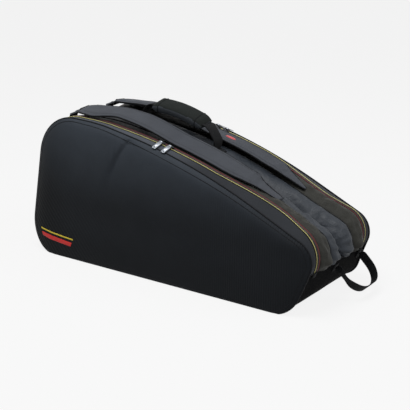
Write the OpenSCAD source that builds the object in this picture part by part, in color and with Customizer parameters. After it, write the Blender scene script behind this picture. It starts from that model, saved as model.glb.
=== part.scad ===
// Two-compartment racket tournament bag, in millimetres.
// X runs along the bag with the head end at -X, -Y is the near side and the floor lies on z = 0.

/* [Body] */
// Distance from the middle to the tall head end, at the floor
head_reach = 400; // [385:1:420]
// Distance from the middle to the foot of the handle end
tail_reach = 336; // [326:1:346]
// Half width between the two panel seams
seam_half = 125; // [112:1:140]
// How much wider each side is at the floor than at the seam
foot_flare = 15; // [4:1:22]
// How far the middle of a side panel bulges past its seam
panel_bulge = 25; // [12:1:34]
// Height where the zips end and the side panels fold
zip_end_z = 92; // [88:1:110]

/* [Top edge] */
// Height of the head corner before rounding
head_h = 338; // [330:1:346]
// Height of the shoulder where the top edge starts to fall
shoulder_h = 331; // [325:1:338]
// Distance from the head end to the shoulder, along the bag
shoulder_in = 230; // [224:1:232]
// Height of the middle of the top edge over the straight line from shoulder to handle end corner
mid_rise = 43; // [38:1:48]
// Place of the middle of the top edge
mid_x = 89; // [80:1:96]
// Height of the handle end corner before rounding
tail_h = 147; // [142:1:154]
// Lean of the head end, run per rise
head_lean = 0.19; // [0.12:0.01:0.22]
// Lean of the handle end, run per rise
tail_lean = 0.38; // [0.34:0.01:0.42]
// Radius of the head corner
head_r = 108; // [70:1:112]
// Radius of the shoulder
shoulder_r = 500; // [300:10:520]
// Radius of the long top curve, which the zip sliders follow
top_r = 1420; // [1100:10:1430]
// Radius of the handle end corner
tail_r = 60; // [44:1:61]
// Radius of the head end at the floor
head_foot_r = 74; // [50:1:76]
// Radius of the handle end at the floor
tail_foot_r = 27; // [14:1:34]

/* [Cloth and padding] */
// Thickness of the cloth strips round the top
strip_t = 2; // [1:0.1:3]
// Thickness of the padded side panels
panel_t = 8; // [5:0.5:11]
// Thickness of the panel border at its seam
border_t = 3; // [2:0.1:4]
// Thickness of the padded floor
floor_t = 4; // [3:0.5:6]
// Thickness of the stiff board on the floor
board_t = 2.5; // [1.5:0.1:4]
// Thickness of the wall between the two compartments
divider_t = 6; // [3:0.5:9]
// Thickness of a panel lining
lining_t = 1; // [0.6:0.1:1.6]
// Height of the piping along a panel seam
piping_t = 2; // [1.4:0.1:2.4]

/* [Zips] */
// Distance from a panel seam to its zip, across the bag
zip_inset = 22; // [19:0.5:26]
// Width of one zip tape
tape_w = 7.2; // [6.5:0.1:9]
// Slit between the two halves of a zip
zip_slit = 1.2; // [1.2:0.1:1.4]
// Width of one half of a coil
coil_w = 2.2; // [1.8:0.1:2.6]
// Height of a coil above its tape
coil_h = 1.8; // [1.2:0.1:2.2]
// Length of a slider
slider_len = 13; // [11:0.5:15]
// Width of a slider
slider_w = 11; // [9:0.5:12]
// Thickness of a slider's plates
slider_t = 1.8; // [1.4:0.1:2.2]
// Length of a pull tab
pull_len = 26; // [21:0.5:27]
// Width of a pull tab
pull_w = 10; // [8:0.5:11]
// Thickness of a pull tab
pull_t = 1.4; // [1.1:0.1:1.8]
// Place of the head side slider along the bag
slider_head_x = -11; // [-30:1:-9]
// Place of the handle side slider along the bag
slider_tail_x = 13; // [9:1:30]

/* [Bellows] */
// Half width of the soft middle, seam to seam
bellow_half = 48; // [42:1:54]
// Height of a bellow's crest over the valley between them
valley_depth = 20; // [10:1:26]

/* [Shoulder straps] */
// Distance of a strap's middle from its zip, across the bag
strap_inset = 42; // [41:1:45]
// Width of a strap
strap_w = 56; // [46:1:58]
// Thickness of a strap's padding
strap_t = 10; // [7:0.5:13]
// How high a strap arches over the bag
strap_lift = 11; // [7:0.5:16]
// Distance from the head end to the strap's end at the ladder lock
strap_head_in = 136; // [132:1:150]
// Place where a strap's padding ends and its plain band begins
strap_pad_x = 196; // [170:1:205]
// Place of the strap's sewn end
strap_tail_x = 258; // [240:1:265]
// Thickness of the strap's plain band
strap_band_t = 4; // [3:0.5:6]
// Width of the narrow webbing
web_w = 25; // [20:0.5:30]
// Thickness of webbing
web_t = 2; // [1.4:0.1:2.6]
// Length of a ladder lock
lock_len = 34; // [30:0.5:37]
// Radius of a ladder lock's bars
lock_bar_r = 1.8; // [1.5:0.1:2.2]

/* [Carry handle] */
// Place of the handle's foot towards the head end
handle_head_x = -136; // [-144:1:-128]
// Place of the handle's foot towards the handle end
handle_tail_x = 64; // [56:1:74]
// Height of the handle over the bag
handle_rise = 44; // [42:1:54]
// Width of the handle's webbing
handle_w = 32; // [26:1:34]
// Width of the padded grip
grip_w = 36; // [35:1:40]
// Thickness of the padded grip
grip_t = 20; // [14:0.5:22]

/* [End loop] */
// Place across the bag of the loop's near root
loop_near_y = 0; // [0:1:12]
// Place across the bag of the loop's far root
loop_far_y = 107; // [96:1:109]
// Height of the loop's roots
loop_z = 70; // [64:1:76]
// How far the loop reaches from its roots
loop_reach = 63; // [56:1:70]
// How far below level the loop hangs, in degrees
loop_droop = 45; // [38:1:60]

/* [Hidden] */
round_fn = 40;
gap = 0.3;              // space between pieces of different bodies
run_gap = 0.1;          // radial play of a pin in its ring
arc_steps = 8;
top_steps = 12;

zip_half = seam_half - zip_inset;
strap_y = zip_half - strap_inset;
shoulder_x = shoulder_in - head_reach;
strap_head_x = strap_head_in - head_reach;
tail_x = tail_reach + tail_lean * tail_h;
mid_h = mid_rise + shoulder_h + (tail_h - shoulder_h) * (mid_x - shoulder_x) / (tail_x - shoulder_x);
seam_drop = 10;         // the panel seam lies this far below the zip along the top
crest_half = bellow_half / 2;
face_half = seam_half + panel_bulge;
floor_top = floor_t + board_t;
boot_h = zip_end_z - gap;

// ---- outlines -------------------------------------------------------------------------

function unit(v) = v / norm(v);

// Points of the round that replaces corner v between a and b.
function round_corner(a, v, b, r, n) =
    let (u1 = unit(a - v), u2 = unit(b - v), half = acos(u1 * u2) / 2,
         c = v + unit(u1 + u2) * r / sin(half),
         d1 = (v + u1 * r / tan(half) - c), d2 = (v + u2 * r / tan(half) - c), turn = 180 - 2 * half)
    [for (k = [0:n]) c + (d1 * sin((1 - k / n) * turn) + d2 * sin(k / n * turn)) / sin(turn)];

// Radius of a round that takes at most these shares of the two sides it joins.
function fit_r(a, v, b, r, share_a, share_b) =
    let (half = acos(unit(a - v) * unit(b - v)) / 2)
    min(r, min(share_a * norm(a - v), share_b * norm(b - v)) * tan(half));

// Centre of that round.
function corner_centre(a, v, b, r) =
    let (u1 = unit(a - v), u2 = unit(b - v), half = acos(u1 * u2) / 2)
    v + unit(u1 + u2) * r / sin(half);

// The long top curve may take this much of its two sides, and its neighbours the rest.
top_share = 0.76;
// The handle end corner may take this much of the wall above the zip end.
wall_share = 0.95;

// Corners of the bag's side view above the zip ends, from the handle end round to the head end.
// e draws both ends in, d lowers the handle side of the top and dh its head side.
function top_corners(e, d, dh) =
    [[tail_reach - e + tail_lean * zip_end_z, zip_end_z],
     [tail_reach - e + tail_lean * (tail_h - d), tail_h - d],
     [mid_x, mid_h - d],
     [shoulder_x, shoulder_h - dh],
     [-head_reach + e + head_lean * (head_h - dh), head_h - dh],
     [-head_reach + e + head_lean * zip_end_z, zip_end_z]];

function top_path(e, d, dh) =
    let (c = top_corners(e, d, dh))
    concat([c[0]], round_corner(c[0], c[1], c[2],
            fit_r(c[0], c[1], c[2], tail_r - 1.4 * max(d, 0), wall_share, 1 - top_share), arc_steps),
        round_corner(c[1], c[2], c[3], fit_r(c[1], c[2], c[3], top_r, top_share, top_share), top_steps),
        round_corner(c[2], c[3], c[4], fit_r(c[2], c[3], c[4], shoulder_r, 1 - top_share, 0.4), 2),
        round_corner(c[3], c[4], c[5], fit_r(c[3], c[4], c[5], head_r, 0.6, 0.9), arc_steps), [c[5]]);

// The outline below the zip ends: round the head end's foot, along the floor, up the handle end.
function head_foot(e) =
    let (a = [-head_reach + e + head_lean * boot_h, boot_h], v = [-head_reach + e + head_lean * e, e])
    concat([a], round_corner(a, v, [0, e], head_foot_r - e, arc_steps));
function tail_foot(e) =
    let (b = [tail_reach - e + tail_lean * boot_h, boot_h], v = [tail_reach - e + tail_lean * e, e])
    concat(round_corner([0, e], v, b, tail_foot_r - e, 4), [b]);

// Half width of the bag's ends at height z, which flare towards the floor.
function end_half(z) = seam_half + foot_flare * pow(1 - min(z / zip_end_z, 1), 2);

// A line round the top, at distance y from the middle.
function rail(y, e, d, dh) = [for (p = top_path(e, d, dh)) [p[0], -y, p[1]]];
function zip_rail(y, out) = rail(y, -out, -out, -out);
function seam_rail(y, out) = rail(y, -out, seam_drop - out, -out);

// Height of the top at the zip, over place x.
top_table = [for (p = top_path(0, 0, 0)) if (p[1] > tail_h) [p[0], p[1]]];
function top_z(x) = lookup(x, top_table);

// The long top curve's centre, which is also the axis that the zip sliders turn about.
top_corner_list = top_corners(0, 0, 0);
slide_r = fit_r(top_corner_list[1], top_corner_list[2], top_corner_list[3], top_r, top_share, top_share);
slide_axis = corner_centre(top_corner_list[1], top_corner_list[2], top_corner_list[3], slide_r);
function slide_angle(x) = asin((x - slide_axis[0]) / slide_r);

// A closed skin between two grids of points, lists of rails with as many points each.
module skin(outer, inner) {
    m = len(outer);
    n = len(outer[0]);
    points = concat([for (r = outer) for (p = r) p], [for (r = inner) for (p = r) p]);
    function at(s, i, j) = s * m * n + i * n + j;
    function quad(a, b, c, d) = [[a, c, b], [a, d, c]];
    faces = concat(
        [for (i = [0:m - 2]) for (j = [0:n - 2])
            each quad(at(0, i, j), at(0, i + 1, j), at(0, i + 1, j + 1), at(0, i, j + 1))],
        [for (i = [0:m - 2]) for (j = [0:n - 2])
            each quad(at(1, i, j), at(1, i, j + 1), at(1, i + 1, j + 1), at(1, i + 1, j))],
        [for (j = [0:n - 2]) each quad(at(0, 0, j), at(0, 0, j + 1), at(1, 0, j + 1), at(1, 0, j))],
        [for (j = [0:n - 2])
            each quad(at(0, m - 1, j), at(1, m - 1, j), at(1, m - 1, j + 1), at(0, m - 1, j + 1))],
        [for (i = [0:m - 2]) each quad(at(0, i, 0), at(1, i, 0), at(1, i + 1, 0), at(0, i + 1, 0))],
        [for (i = [0:m - 2])
            each quad(at(0, i, n - 1), at(0, i + 1, n - 1), at(1, i + 1, n - 1), at(1, i, n - 1))]);
    polyhedron(points, faces, convexity = 6);
}

module far_side() {
    mirror([0, 1, 0]) children();
}

// An outline in the XZ plane, made y0 to y1 deep.
module plate(outline, y0, y1) {
    translate([0, y1, 0]) rotate([90, 0, 0]) linear_extrude(y1 - y0) polygon(outline);
}

// The outline of a band of thickness t that lies on the left of a path, or down to -below.
function band(path, t, below = 0) =
    let (n = len(path),
         side = [for (i = [0:n - 1])
            let (u = unit(path[min(i + 1, n - 1)] - path[max(i - 1, 0)])) [-u[1], u[0]]])
    concat([for (i = [0:n - 1]) path[i] + side[i] * t],
        [for (i = [n - 1:-1:0]) path[i] - side[i] * below]);

// ---- floor, boots and divider -----------------------------------------------------------

floor_head_x = head_foot(0)[arc_steps + 1][0];
floor_tail_x = tail_foot(0)[0][0];

module floor_sheet(z0, t, margin) {
    translate([floor_head_x + margin, margin - end_half(0), z0])
        cube([floor_tail_x - floor_head_x - 2 * margin, 2 * (end_half(0) - margin), t]);
}

module base_floor() {
    color("#1c2024") floor_sheet(0, floor_t, 0);
}

module floor_board() {
    color("#3a3a3a") floor_sheet(floor_t, board_t, 12);
}

// End wall below the zip ends, with a ledge that the gussets stand on.
module boot(foot, foot_in) {
    outer = [for (s = [-1, 1]) [for (p = foot) [p[0], s * end_half(p[1]), p[1]]]];
    inner = [for (s = [-1, 1]) [for (i = [0:len(foot) - 1])
        [foot_in[i][0], s * end_half(foot[i][1]), foot_in[i][1]]]];
    skin(outer, inner);
}

module head_end_boot() {
    color("#22272c") boot(head_foot(0), head_foot(border_t));
}

module handle_end_boot() {
    color("#22272c") boot(tail_foot(0), tail_foot(border_t));
}

module centre_divider() {
    down = valley_depth + 2 * strip_t + fold_draw;
    top = top_path(down - valley_depth / 2, down, down);
    low_tail = [floor_tail_x - 12, floor_top];
    low_head = [floor_head_x + 12, floor_top];
    color("#2a2e33") plate(concat(top, [low_head, low_tail]), -divider_t / 2, divider_t / 2);
}

// ---- side panels --------------------------------------------------------------------------

seam_ring = concat(top_path(0, seam_drop, 0),
    [for (i = [1:arc_steps + 1]) head_foot(0)[i]],
    [for (k = [1:3]) [floor_head_x + (floor_tail_x - floor_head_x) * k / 4, 0]],
    [for (i = [0:4]) tail_foot(0)[i]]);
ring_middle = [0, 1.5 * zip_end_z];
ring_scales = [1, 0.97, 0.9, 0.76, 0.5];
ring_bulges = [0, 0.34, 0.66, 0.9, 0.99];

// One side panel, crowned outwards, between two depths from its seam outwards.
module crowned(border0, border1, face0, face1, margin) {
    n = len(seam_ring);
    m = len(ring_scales);
    function ring(k, border, face) = [for (p = seam_ring)
        let (s = ring_scales[k] - margin, q = ring_middle + (p - ring_middle) * s,
             y0 = end_half(p[1]) + border)
        [q[0], -(y0 + (face - y0) * ring_bulges[k]), q[1]]];
    points = concat([for (k = [0:m - 1]) each ring(k, border1, face1)],
        [for (k = [0:m - 1]) each ring(k, border0, face0)],
        [[ring_middle[0], -face1, ring_middle[1]], [ring_middle[0], -face0, ring_middle[1]]]);
    function at(s, k, j) = s * m * n + k * n + j % n;
    top = 2 * m * n;
    faces = concat(
        [for (k = [0:m - 2]) for (j = [0:n - 1])
            each [[at(0, k, j), at(0, k + 1, j), at(0, k + 1, j + 1)],
                  [at(0, k, j), at(0, k + 1, j + 1), at(0, k, j + 1)]]],
        [for (k = [0:m - 2]) for (j = [0:n - 1])
            each [[at(1, k, j), at(1, k + 1, j + 1), at(1, k + 1, j)],
                  [at(1, k, j), at(1, k, j + 1), at(1, k + 1, j + 1)]]],
        [for (j = [0:n - 1]) [at(0, m - 1, j + 1), at(0, m - 1, j), top]],
        [for (j = [0:n - 1]) [at(1, m - 1, j), at(1, m - 1, j + 1), top + 1]],
        [for (j = [0:n - 1]) each [[at(0, 0, j), at(0, 0, j + 1), at(1, 0, j)],
                                   [at(1, 0, j), at(0, 0, j + 1), at(1, 0, j + 1)]]]);
    polyhedron(points, faces, convexity = 6);
}

// Space above or below the fold between the zip ends.
module fold_side(above) {
    reach = 2 * head_reach;
    translate([-reach, -2 * face_half, above ? zip_end_z + gap / 2 : zip_end_z - gap / 2 - reach])
        cube([2 * reach, 4 * face_half, reach]);
}

module panel() {
    crowned(0, border_t, face_half - panel_t, face_half, 0);
}

module panel_part(above) {
    color("#23282d") intersection() {
        panel();
        fold_side(above);
    }
}

module near_panel_upper() {
    panel_part(true);
}

module far_panel_upper() {
    far_side() panel_part(true);
}

module near_panel_lower() {
    panel_part(false);
}

module far_panel_lower() {
    far_side() panel_part(false);
}

module panel_lining() {
    color("#b9bcc0") intersection() {
        crowned(-lining_t, 0, face_half - panel_t - lining_t, face_half - panel_t, 0.02);
        fold_side(true);
    }
}

module near_panel_lining() {
    panel_lining();
}

module far_panel_lining() {
    far_side() panel_lining();
}

module piping() {
    color("#15181b") skin([seam_rail(seam_half + border_t, piping_t), seam_rail(seam_half, piping_t)],
        [seam_rail(seam_half + border_t, 0), seam_rail(seam_half, 0)]);
}

module near_piping() {
    piping();
}

module far_piping() {
    far_side() piping();
}

// ---- gussets, zips and bellows --------------------------------------------------------------

slit_half = zip_slit / 2;
tape_out = zip_half + slit_half + tape_w;
tape_in = zip_half - slit_half - tape_w;
tape_t = 1;

module outer_gusset() {
    color("#2b3034") skin([seam_rail(seam_half, 0), zip_rail(tape_out, 0)],
        [seam_rail(seam_half, -strip_t), zip_rail(tape_out, -strip_t)]);
}

module tape(y0, y1) {
    skin([zip_rail(y1, 0), zip_rail(y0, 0)], [zip_rail(y1, -tape_t), zip_rail(y0, -tape_t)]);
}

module coil(y0, y1) {
    skin([zip_rail(y1, coil_h), zip_rail(y0, coil_h)], [zip_rail(y1, 0), zip_rail(y0, 0)]);
}

module outer_tape() {
    color("#b8a64c") tape(zip_half + slit_half, tape_out);
}

module inner_tape() {
    color("#7d1f22") tape(tape_in, zip_half - slit_half);
}

module outer_coil() {
    color("#1a1a1a") coil(zip_half + slit_half, zip_half + slit_half + coil_w);
}

module inner_coil() {
    color("#1a1a1a") coil(zip_half - slit_half - coil_w, zip_half - slit_half);
}

fold_drop = 9;          // the bellow's seam lies this far below the zip
fold_draw = 2;          // and this far inside its ends

module inner_gusset() {
    color("#34382f") skin([zip_rail(tape_in, 0), rail(bellow_half, fold_draw, fold_drop, fold_drop)],
        [zip_rail(tape_in, -strip_t), rail(bellow_half, fold_draw + strip_t, fold_drop + strip_t, fold_drop + strip_t)]);
}

// Lines of the bellow from its seam over the crest down to the valley.
function bellow_rails(t) =
    [rail(bellow_half, fold_draw + t, fold_drop + t, fold_drop + t),
     rail(crest_half + 12, t - 1, 5 + t, 5 + t),
     rail(crest_half, t - 2, 4 + t, 4 + t),
     rail(crest_half - 12, t + 1, 7 + t, 7 + t),
     rail(0, valley_depth / 2 + t, valley_depth + t, valley_depth + t)];

module bellow() {
    color("#3c424c") skin(bellow_rails(0), bellow_rails(strip_t));
}

module near_outer_gusset() {
    outer_gusset();
}

module far_outer_gusset() {
    far_side() outer_gusset();
}

module near_outer_tape() {
    outer_tape();
}

module far_outer_tape() {
    far_side() outer_tape();
}

module near_inner_tape() {
    inner_tape();
}

module far_inner_tape() {
    far_side() inner_tape();
}

module near_outer_coil() {
    outer_coil();
}

module far_outer_coil() {
    far_side() outer_coil();
}

module near_inner_coil() {
    inner_coil();
}

module far_inner_coil() {
    far_side() inner_coil();
}

module near_inner_gusset() {
    inner_gusset();
}

module far_inner_gusset() {
    far_side() inner_gusset();
}

module near_bellow() {
    bellow();
}

module far_bellow() {
    far_side() bellow();
}

// Cloth tabs on the boots below the ends of a zip.
module zip_stops() {
    stop_h = 12;
    stop_w = 2 * tape_w;
    stop_t = 1.6;
    head_wall = function (z) [-head_reach + head_lean * z, z];
    tail_wall = function (z) [tail_reach + tail_lean * z, z];
    color("#15181b") {
        plate(band([head_wall(boot_h - stop_h), head_wall(boot_h)], stop_t),
            -zip_half - stop_w / 2, -zip_half + stop_w / 2);
        plate(band([tail_wall(boot_h), tail_wall(boot_h - stop_h)], stop_t),
            -zip_half - stop_w / 2, -zip_half + stop_w / 2);
    }
}

// ---- sliders and pull tabs ------------------------------------------------------------------

plate_z = coil_h + gap + 0.1;            // underside of a slider's top plate
bridge_r = 0.9;
ring_r = 2.1;
bridge_z = plate_z + slider_t + ring_r + gap;   // axis of the bar that holds the pull tab
bridge_y = 0.3 - slider_w / 2;
pull_slope = 20;        // the tab hangs this far below level, over the outer gusset

// Puts a piece that is modelled on the zip at x = 0 onto the top curve.
module on_curve(x) {
    translate([slide_axis[0], -zip_half, slide_axis[1]])
        rotate([0, slide_angle(x), 0]) translate([0, 0, slide_r]) children();
}

module slider_body() {
    bridge_len = pull_w + 3;
    color("#8f9499") {
        translate([-slider_len / 2, -slider_w / 2, plate_z]) cube([slider_len, slider_w, slider_t]);
        translate([-slider_len / 2, -0.4, -tape_t - gap - 0.3 - slider_t])
            cube([slider_len, 0.8, plate_z + tape_t + gap + 0.3 + slider_t]);
        translate([-slider_len / 2, -slider_w / 2, -tape_t - gap - 0.3 - slider_t])
            cube([slider_len, slider_w / 2 - 0.4, slider_t]);
        for (s = [-1, 1]) translate([s * (bridge_len / 2 - 0.5) - 0.5, -slider_w / 2, plate_z + slider_t])
            cube([1, 2, bridge_z - plate_z - slider_t + bridge_r]);
        translate([-bridge_len / 2, bridge_y, bridge_z]) rotate([0, 90, 0])
            cylinder(h = bridge_len, r = bridge_r, $fn = round_fn);
    }
}

module pull_body() {
    plate_len = pull_len - ring_r;
    color("#b4b8bc") translate([0, bridge_y, bridge_z]) rotate([pull_slope, 0, 0]) difference() {
        union() {
            translate([-pull_w / 2, -plate_len - ring_r + 1, -pull_t / 2]) cube([pull_w, plate_len, pull_t]);
            translate([-pull_w / 2, 0, 0]) rotate([0, 90, 0]) cylinder(h = pull_w, r = ring_r, $fn = round_fn);
        }
        translate([-pull_w, 0, 0]) rotate([0, 90, 0])
            cylinder(h = 2 * pull_w, r = bridge_r + run_gap, $fn = round_fn);
        translate([0, -plate_len - ring_r + 4, -pull_t]) cylinder(h = 2 * pull_t, r = 1, $fn = round_fn);
    }
}

module near_head_slider() {
    on_curve(slider_head_x) slider_body();
}

module near_handle_slider() {
    on_curve(slider_tail_x) slider_body();
}

module far_head_slider() {
    far_side() near_head_slider();
}

module far_handle_slider() {
    far_side() near_handle_slider();
}

module near_head_pull() {
    on_curve(slider_head_x) pull_body();
}

module near_handle_pull() {
    on_curve(slider_tail_x) pull_body();
}

module far_head_pull() {
    far_side() near_head_pull();
}

module far_handle_pull() {
    far_side() near_handle_pull();
}

// ---- shoulder straps ------------------------------------------------------------------------

strap_steps = 24;
function strap_x(s) = strap_head_x + (strap_tail_x - strap_head_x) * s;
// The strap arches over the head half, touches down and rises a little near its sewn end.
function strap_gap(s) = gap + strap_lift * pow(sin(180 * min(s / 0.62, 1)), 2)
    + 4 * pow(sin(180 * max((s - 0.8) / 0.2, 0)), 2) + 8 * pow(1 - min(s / 0.3, 1), 2);
function strap_thick(x) = x < strap_pad_x - 10 ? strap_t
    : max(strap_band_t, strap_t - (strap_t - strap_band_t) * (x - strap_pad_x + 10) / 20);
// The inner gusset falls away from the zip, so what lies on it is seated by its outer edge.
function gusset_drop(y) = (tape_in - y) / (tape_in - bellow_half);
strap_seat = fold_drop * gusset_drop(strap_y + strap_w / 2);
strap_path = [for (k = [0:strap_steps]) let (s = k / strap_steps)
    [strap_x(s), top_z(strap_x(s)) + strap_gap(s) - strap_seat]];
patch_x = 57;           // place of the oval patch along the far strap
patch_half = [13, 6];
strap_end = strap_path[0] + [0, strap_t / 2];
lock_pin = strap_end - [lock_bar_r + web_t + gap, 0];
lock_slope = 14;

module shoulder_strap() {
    top = [for (p = strap_path) p + [0, strap_thick(p[0])]];
    low = [for (k = [strap_steps:-1:0]) strap_path[k]];
    color("#45494e") plate(concat(top, low), -strap_y - strap_w / 2, -strap_y + strap_w / 2);
}

// Webbing loop on the strap's end that holds the ladder lock's bar.
module strap_loop() {
    bore = lock_bar_r + run_gap;
    color("#101214") translate([0, -strap_y, 0]) difference() {
        union() {
            translate([lock_pin[0], web_w / 2, lock_pin[1]]) rotate([90, 0, 0])
                cylinder(h = web_w, r = bore + web_t, $fn = round_fn);
            translate([lock_pin[0], -web_w / 2, lock_pin[1] - web_t / 2])
                cube([strap_end[0] - lock_pin[0], web_w, web_t]);
        }
        translate([lock_pin[0], web_w, lock_pin[1]]) rotate([90, 0, 0])
            cylinder(h = 2 * web_w, r = bore, $fn = round_fn);
    }
}

// Ladder lock: two side rails and three bars, lying from the strap towards the head end.
module ladder_lock() {
    rail_w = 4;
    rail_y = web_w / 2 + gap;
    color("#9a9fa4") translate([lock_pin[0], -strap_y, lock_pin[1]]) rotate([0, -lock_slope, 0]) {
        for (s = [-1, 1]) translate([-lock_len, s * (rail_y + rail_w / 2) - rail_w / 2, -2.2])
            cube([lock_len + lock_bar_r, rail_w, 4.4]);
        rotate([90, 0, 0]) cylinder(h = 2 * rail_y + 1, r = lock_bar_r, center = true, $fn = round_fn);
        for (x = [-lock_len + 2, -lock_len * 0.52])
            translate([x, -rail_y - 0.5, -1.4]) cube([3.6, 2 * rail_y + 1, 2.8]);
    }
}

// Webbing that runs from the ladder lock over the head corner to its seam.
anchor_seat = gusset_drop(strap_y + web_w / 2);
anchor_drop = fold_drop * anchor_seat - gap;
head_round = top_path(fold_draw * anchor_seat - gap, anchor_drop, anchor_drop);
anchor_path = [for (i = [len(head_round) - arc_steps + 1:len(head_round) - 3]) head_round[i]];

module anchor_webbing() {
    lock_end = lock_pin + (lock_len + 0.6) * [-cos(lock_slope), -sin(lock_slope)];
    start = [for (p = anchor_path) if (p[0] < lock_end[0] - 2) p];
    path = concat([lock_end - [0, web_t / 2]], start);
    color("#101214") plate(band(path, 0, web_t + 0.01), -strap_y - web_w / 2, -strap_y + web_w / 2);
}

module near_shoulder_strap() {
    shoulder_strap();
}

module far_shoulder_strap() {
    far_side() shoulder_strap();
}

module near_strap_loop() {
    strap_loop();
}

module far_strap_loop() {
    far_side() strap_loop();
}

module near_ladder_lock() {
    ladder_lock();
}

module far_ladder_lock() {
    far_side() ladder_lock();
}

module near_anchor_webbing() {
    anchor_webbing();
}

module far_anchor_webbing() {
    far_side() anchor_webbing();
}

// Oval patch on the far strap.
module strap_patch() {
    ends = [for (x = [patch_x - patch_half[0], patch_x + patch_half[0]]) [x, lookup(x, strap_path)]];
    slope = atan2(ends[1][1] - ends[0][1], ends[1][0] - ends[0][0]);
    mid = (ends[0] + ends[1]) / 2;
    color("#b8474b") translate([mid[0], strap_y, mid[1]]) rotate([0, -slope, 0])
        translate([0, 0, strap_t + gap]) linear_extrude(0.8)
        polygon([for (a = [0:15:345]) [patch_half[0] * cos(a), patch_half[1] * sin(a)]]);
}

// ---- carry handle -----------------------------------------------------------------------------

seat_drop = 5.7;        // the handle's sewn feet lie on the bellows this far below the zip's height
foot_t = 3;
pivot_lift = foot_t + 3 * gap + handle_w / 2 - seat_drop;
handle_t = 3;
handle_step = 6;        // the webbing rises straight from its feet this far
grip_ease = 13;         // length over which each end of the grip tapers
grip_inset = 16;        // from the webbing's upper bends to the grip
handle_lean = 19;       // each leg of the handle leans inwards by this much

function over_bag(x, h) = [x, top_z(x) + h];
handle_head = over_bag(handle_head_x, pivot_lift);
handle_tail = over_bag(handle_tail_x, pivot_lift);
top_head = over_bag(handle_head_x + handle_lean, handle_rise);
top_tail = over_bag(handle_tail_x - handle_lean, handle_rise);
rise_head = handle_head + [0, handle_step];
rise_tail = handle_tail + [0, handle_step];
handle_path = concat([handle_tail, rise_tail], round_corner(rise_tail, top_tail, top_head, 30, 6),
    round_corner(top_tail, top_head, rise_head, 22, 6), [rise_head, handle_head]);
grip_run = unit(top_head - top_tail);
grip_up = [-grip_run[1], grip_run[0]] * -1;
grip_tail = top_tail + grip_run * grip_inset;
grip_head = top_head - grip_run * grip_inset;
webbing_outline = band(handle_path, handle_t / 2, handle_t / 2);

// The webbing's ends are half discs about the line that it turns on.
module handle_webbing() {
    color("#14171a") {
        plate(webbing_outline, -handle_w / 2, handle_w / 2);
        for (p = [handle_head, handle_tail]) translate([p[0] - handle_t / 2, 0, p[1]])
            rotate([0, 90, 0]) cylinder(h = handle_t, r = handle_w / 2, $fn = 2 * round_fn);
    }
}

module handle_grip() {
    thin = grip_t / 3;
    outline = [grip_tail - grip_up * thin, grip_tail + grip_run * grip_ease - grip_up * grip_t / 2,
        grip_head - grip_run * grip_ease - grip_up * grip_t / 2, grip_head - grip_up * thin,
        grip_head + grip_up * thin, grip_head - grip_run * grip_ease + grip_up * grip_t / 2,
        grip_tail + grip_run * grip_ease + grip_up * grip_t / 2, grip_tail + grip_up * thin];
    color("#2c3134") difference() {
        plate(outline, -grip_w / 2, grip_w / 2);
        plate(webbing_outline, -handle_w / 2, handle_w / 2);
    }
}

// Sewn feet over the valley that the handle's webbing turns on.
module handle_anchors() {
    foot_half = 13;
    color("#101214") for (x = [handle_head_x, handle_tail_x])
        plate(band([over_bag(x - foot_half, gap - seat_drop), over_bag(x + foot_half, gap - seat_drop)], foot_t),
            -handle_w / 2, handle_w / 2);
}

// ---- end loop -----------------------------------------------------------------------------------

loop_w = 20;
patch_t = 2.2;
loop_foot = patch_t + gap + loop_w / 2;     // the loop turns on a line this far off the wall
loop_mid = (loop_near_y + loop_far_y) / 2;
loop_half = (loop_far_y - loop_near_y) / 2;
wall_turn = atan(tail_lean);

// A frame on the handle end's wall at the loop's height, with X out of the wall.
module on_wall() {
    translate([tail_reach + tail_lean * loop_z, 0, loop_z]) rotate([0, wall_turn, 0]) children();
}

// The loop's ends are half discs about the line that it turns on.
module end_loop() {
    far_corner = [loop_reach, loop_half];
    near_corner = [loop_reach, -loop_half];
    bend = loop_half - 12;
    inner_path = concat([[0, loop_half]],
        round_corner([0, loop_half], far_corner, near_corner, bend, arc_steps),
        round_corner(far_corner, near_corner, [0, -loop_half], bend, arc_steps), [[0, -loop_half]]);
    color("#101214") on_wall() translate([loop_foot, loop_mid, 0]) rotate([0, loop_droop - wall_turn, 0]) {
        translate([0, 0, -loop_w / 2]) linear_extrude(loop_w) polygon(band(inner_path, web_t));
        for (y = [loop_half, -loop_half - web_t]) translate([0, y + web_t, 0])
            rotate([90, 0, 0]) cylinder(h = web_t, r = loop_w / 2, $fn = 2 * round_fn);
    }
}

module end_loop_anchors() {
    patch_h = 16;
    color("#101214") on_wall() for (y = [loop_near_y, loop_far_y])
        translate([0, y - loop_w / 2, -patch_h / 2]) cube([patch_t, loop_w, patch_h]);
}

base_floor();
floor_board();
centre_divider();
head_end_boot();
handle_end_boot();
near_panel_lower();
far_panel_lower();
near_inner_gusset();
far_inner_gusset();
near_bellow();
far_bellow();
near_inner_tape();
far_inner_tape();
near_inner_coil();
far_inner_coil();
zip_stops();  // near_zip_stops
far_side() zip_stops();  // far_zip_stops
near_panel_upper();
far_panel_upper();
near_panel_lining();
far_panel_lining();
near_piping();
far_piping();
near_outer_gusset();
far_outer_gusset();
near_outer_tape();
far_outer_tape();
near_outer_coil();
far_outer_coil();
near_head_slider();
near_handle_slider();
far_head_slider();
far_handle_slider();
near_head_pull();
near_handle_pull();
far_head_pull();
far_handle_pull();
near_shoulder_strap();
far_shoulder_strap();
near_strap_loop();
far_strap_loop();
near_ladder_lock();
far_ladder_lock();
near_anchor_webbing();
far_anchor_webbing();
strap_patch();
handle_anchors();
handle_webbing();
handle_grip();
end_loop_anchors();
end_loop();
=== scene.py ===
"""Racket tournament bag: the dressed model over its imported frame."""
from math import acos, asin, atan, atan2, copysign, cos, degrees, exp, pi, radians, sin, sqrt, tan

import bmesh
import bpy
import numpy as np
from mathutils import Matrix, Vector, noise


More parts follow.
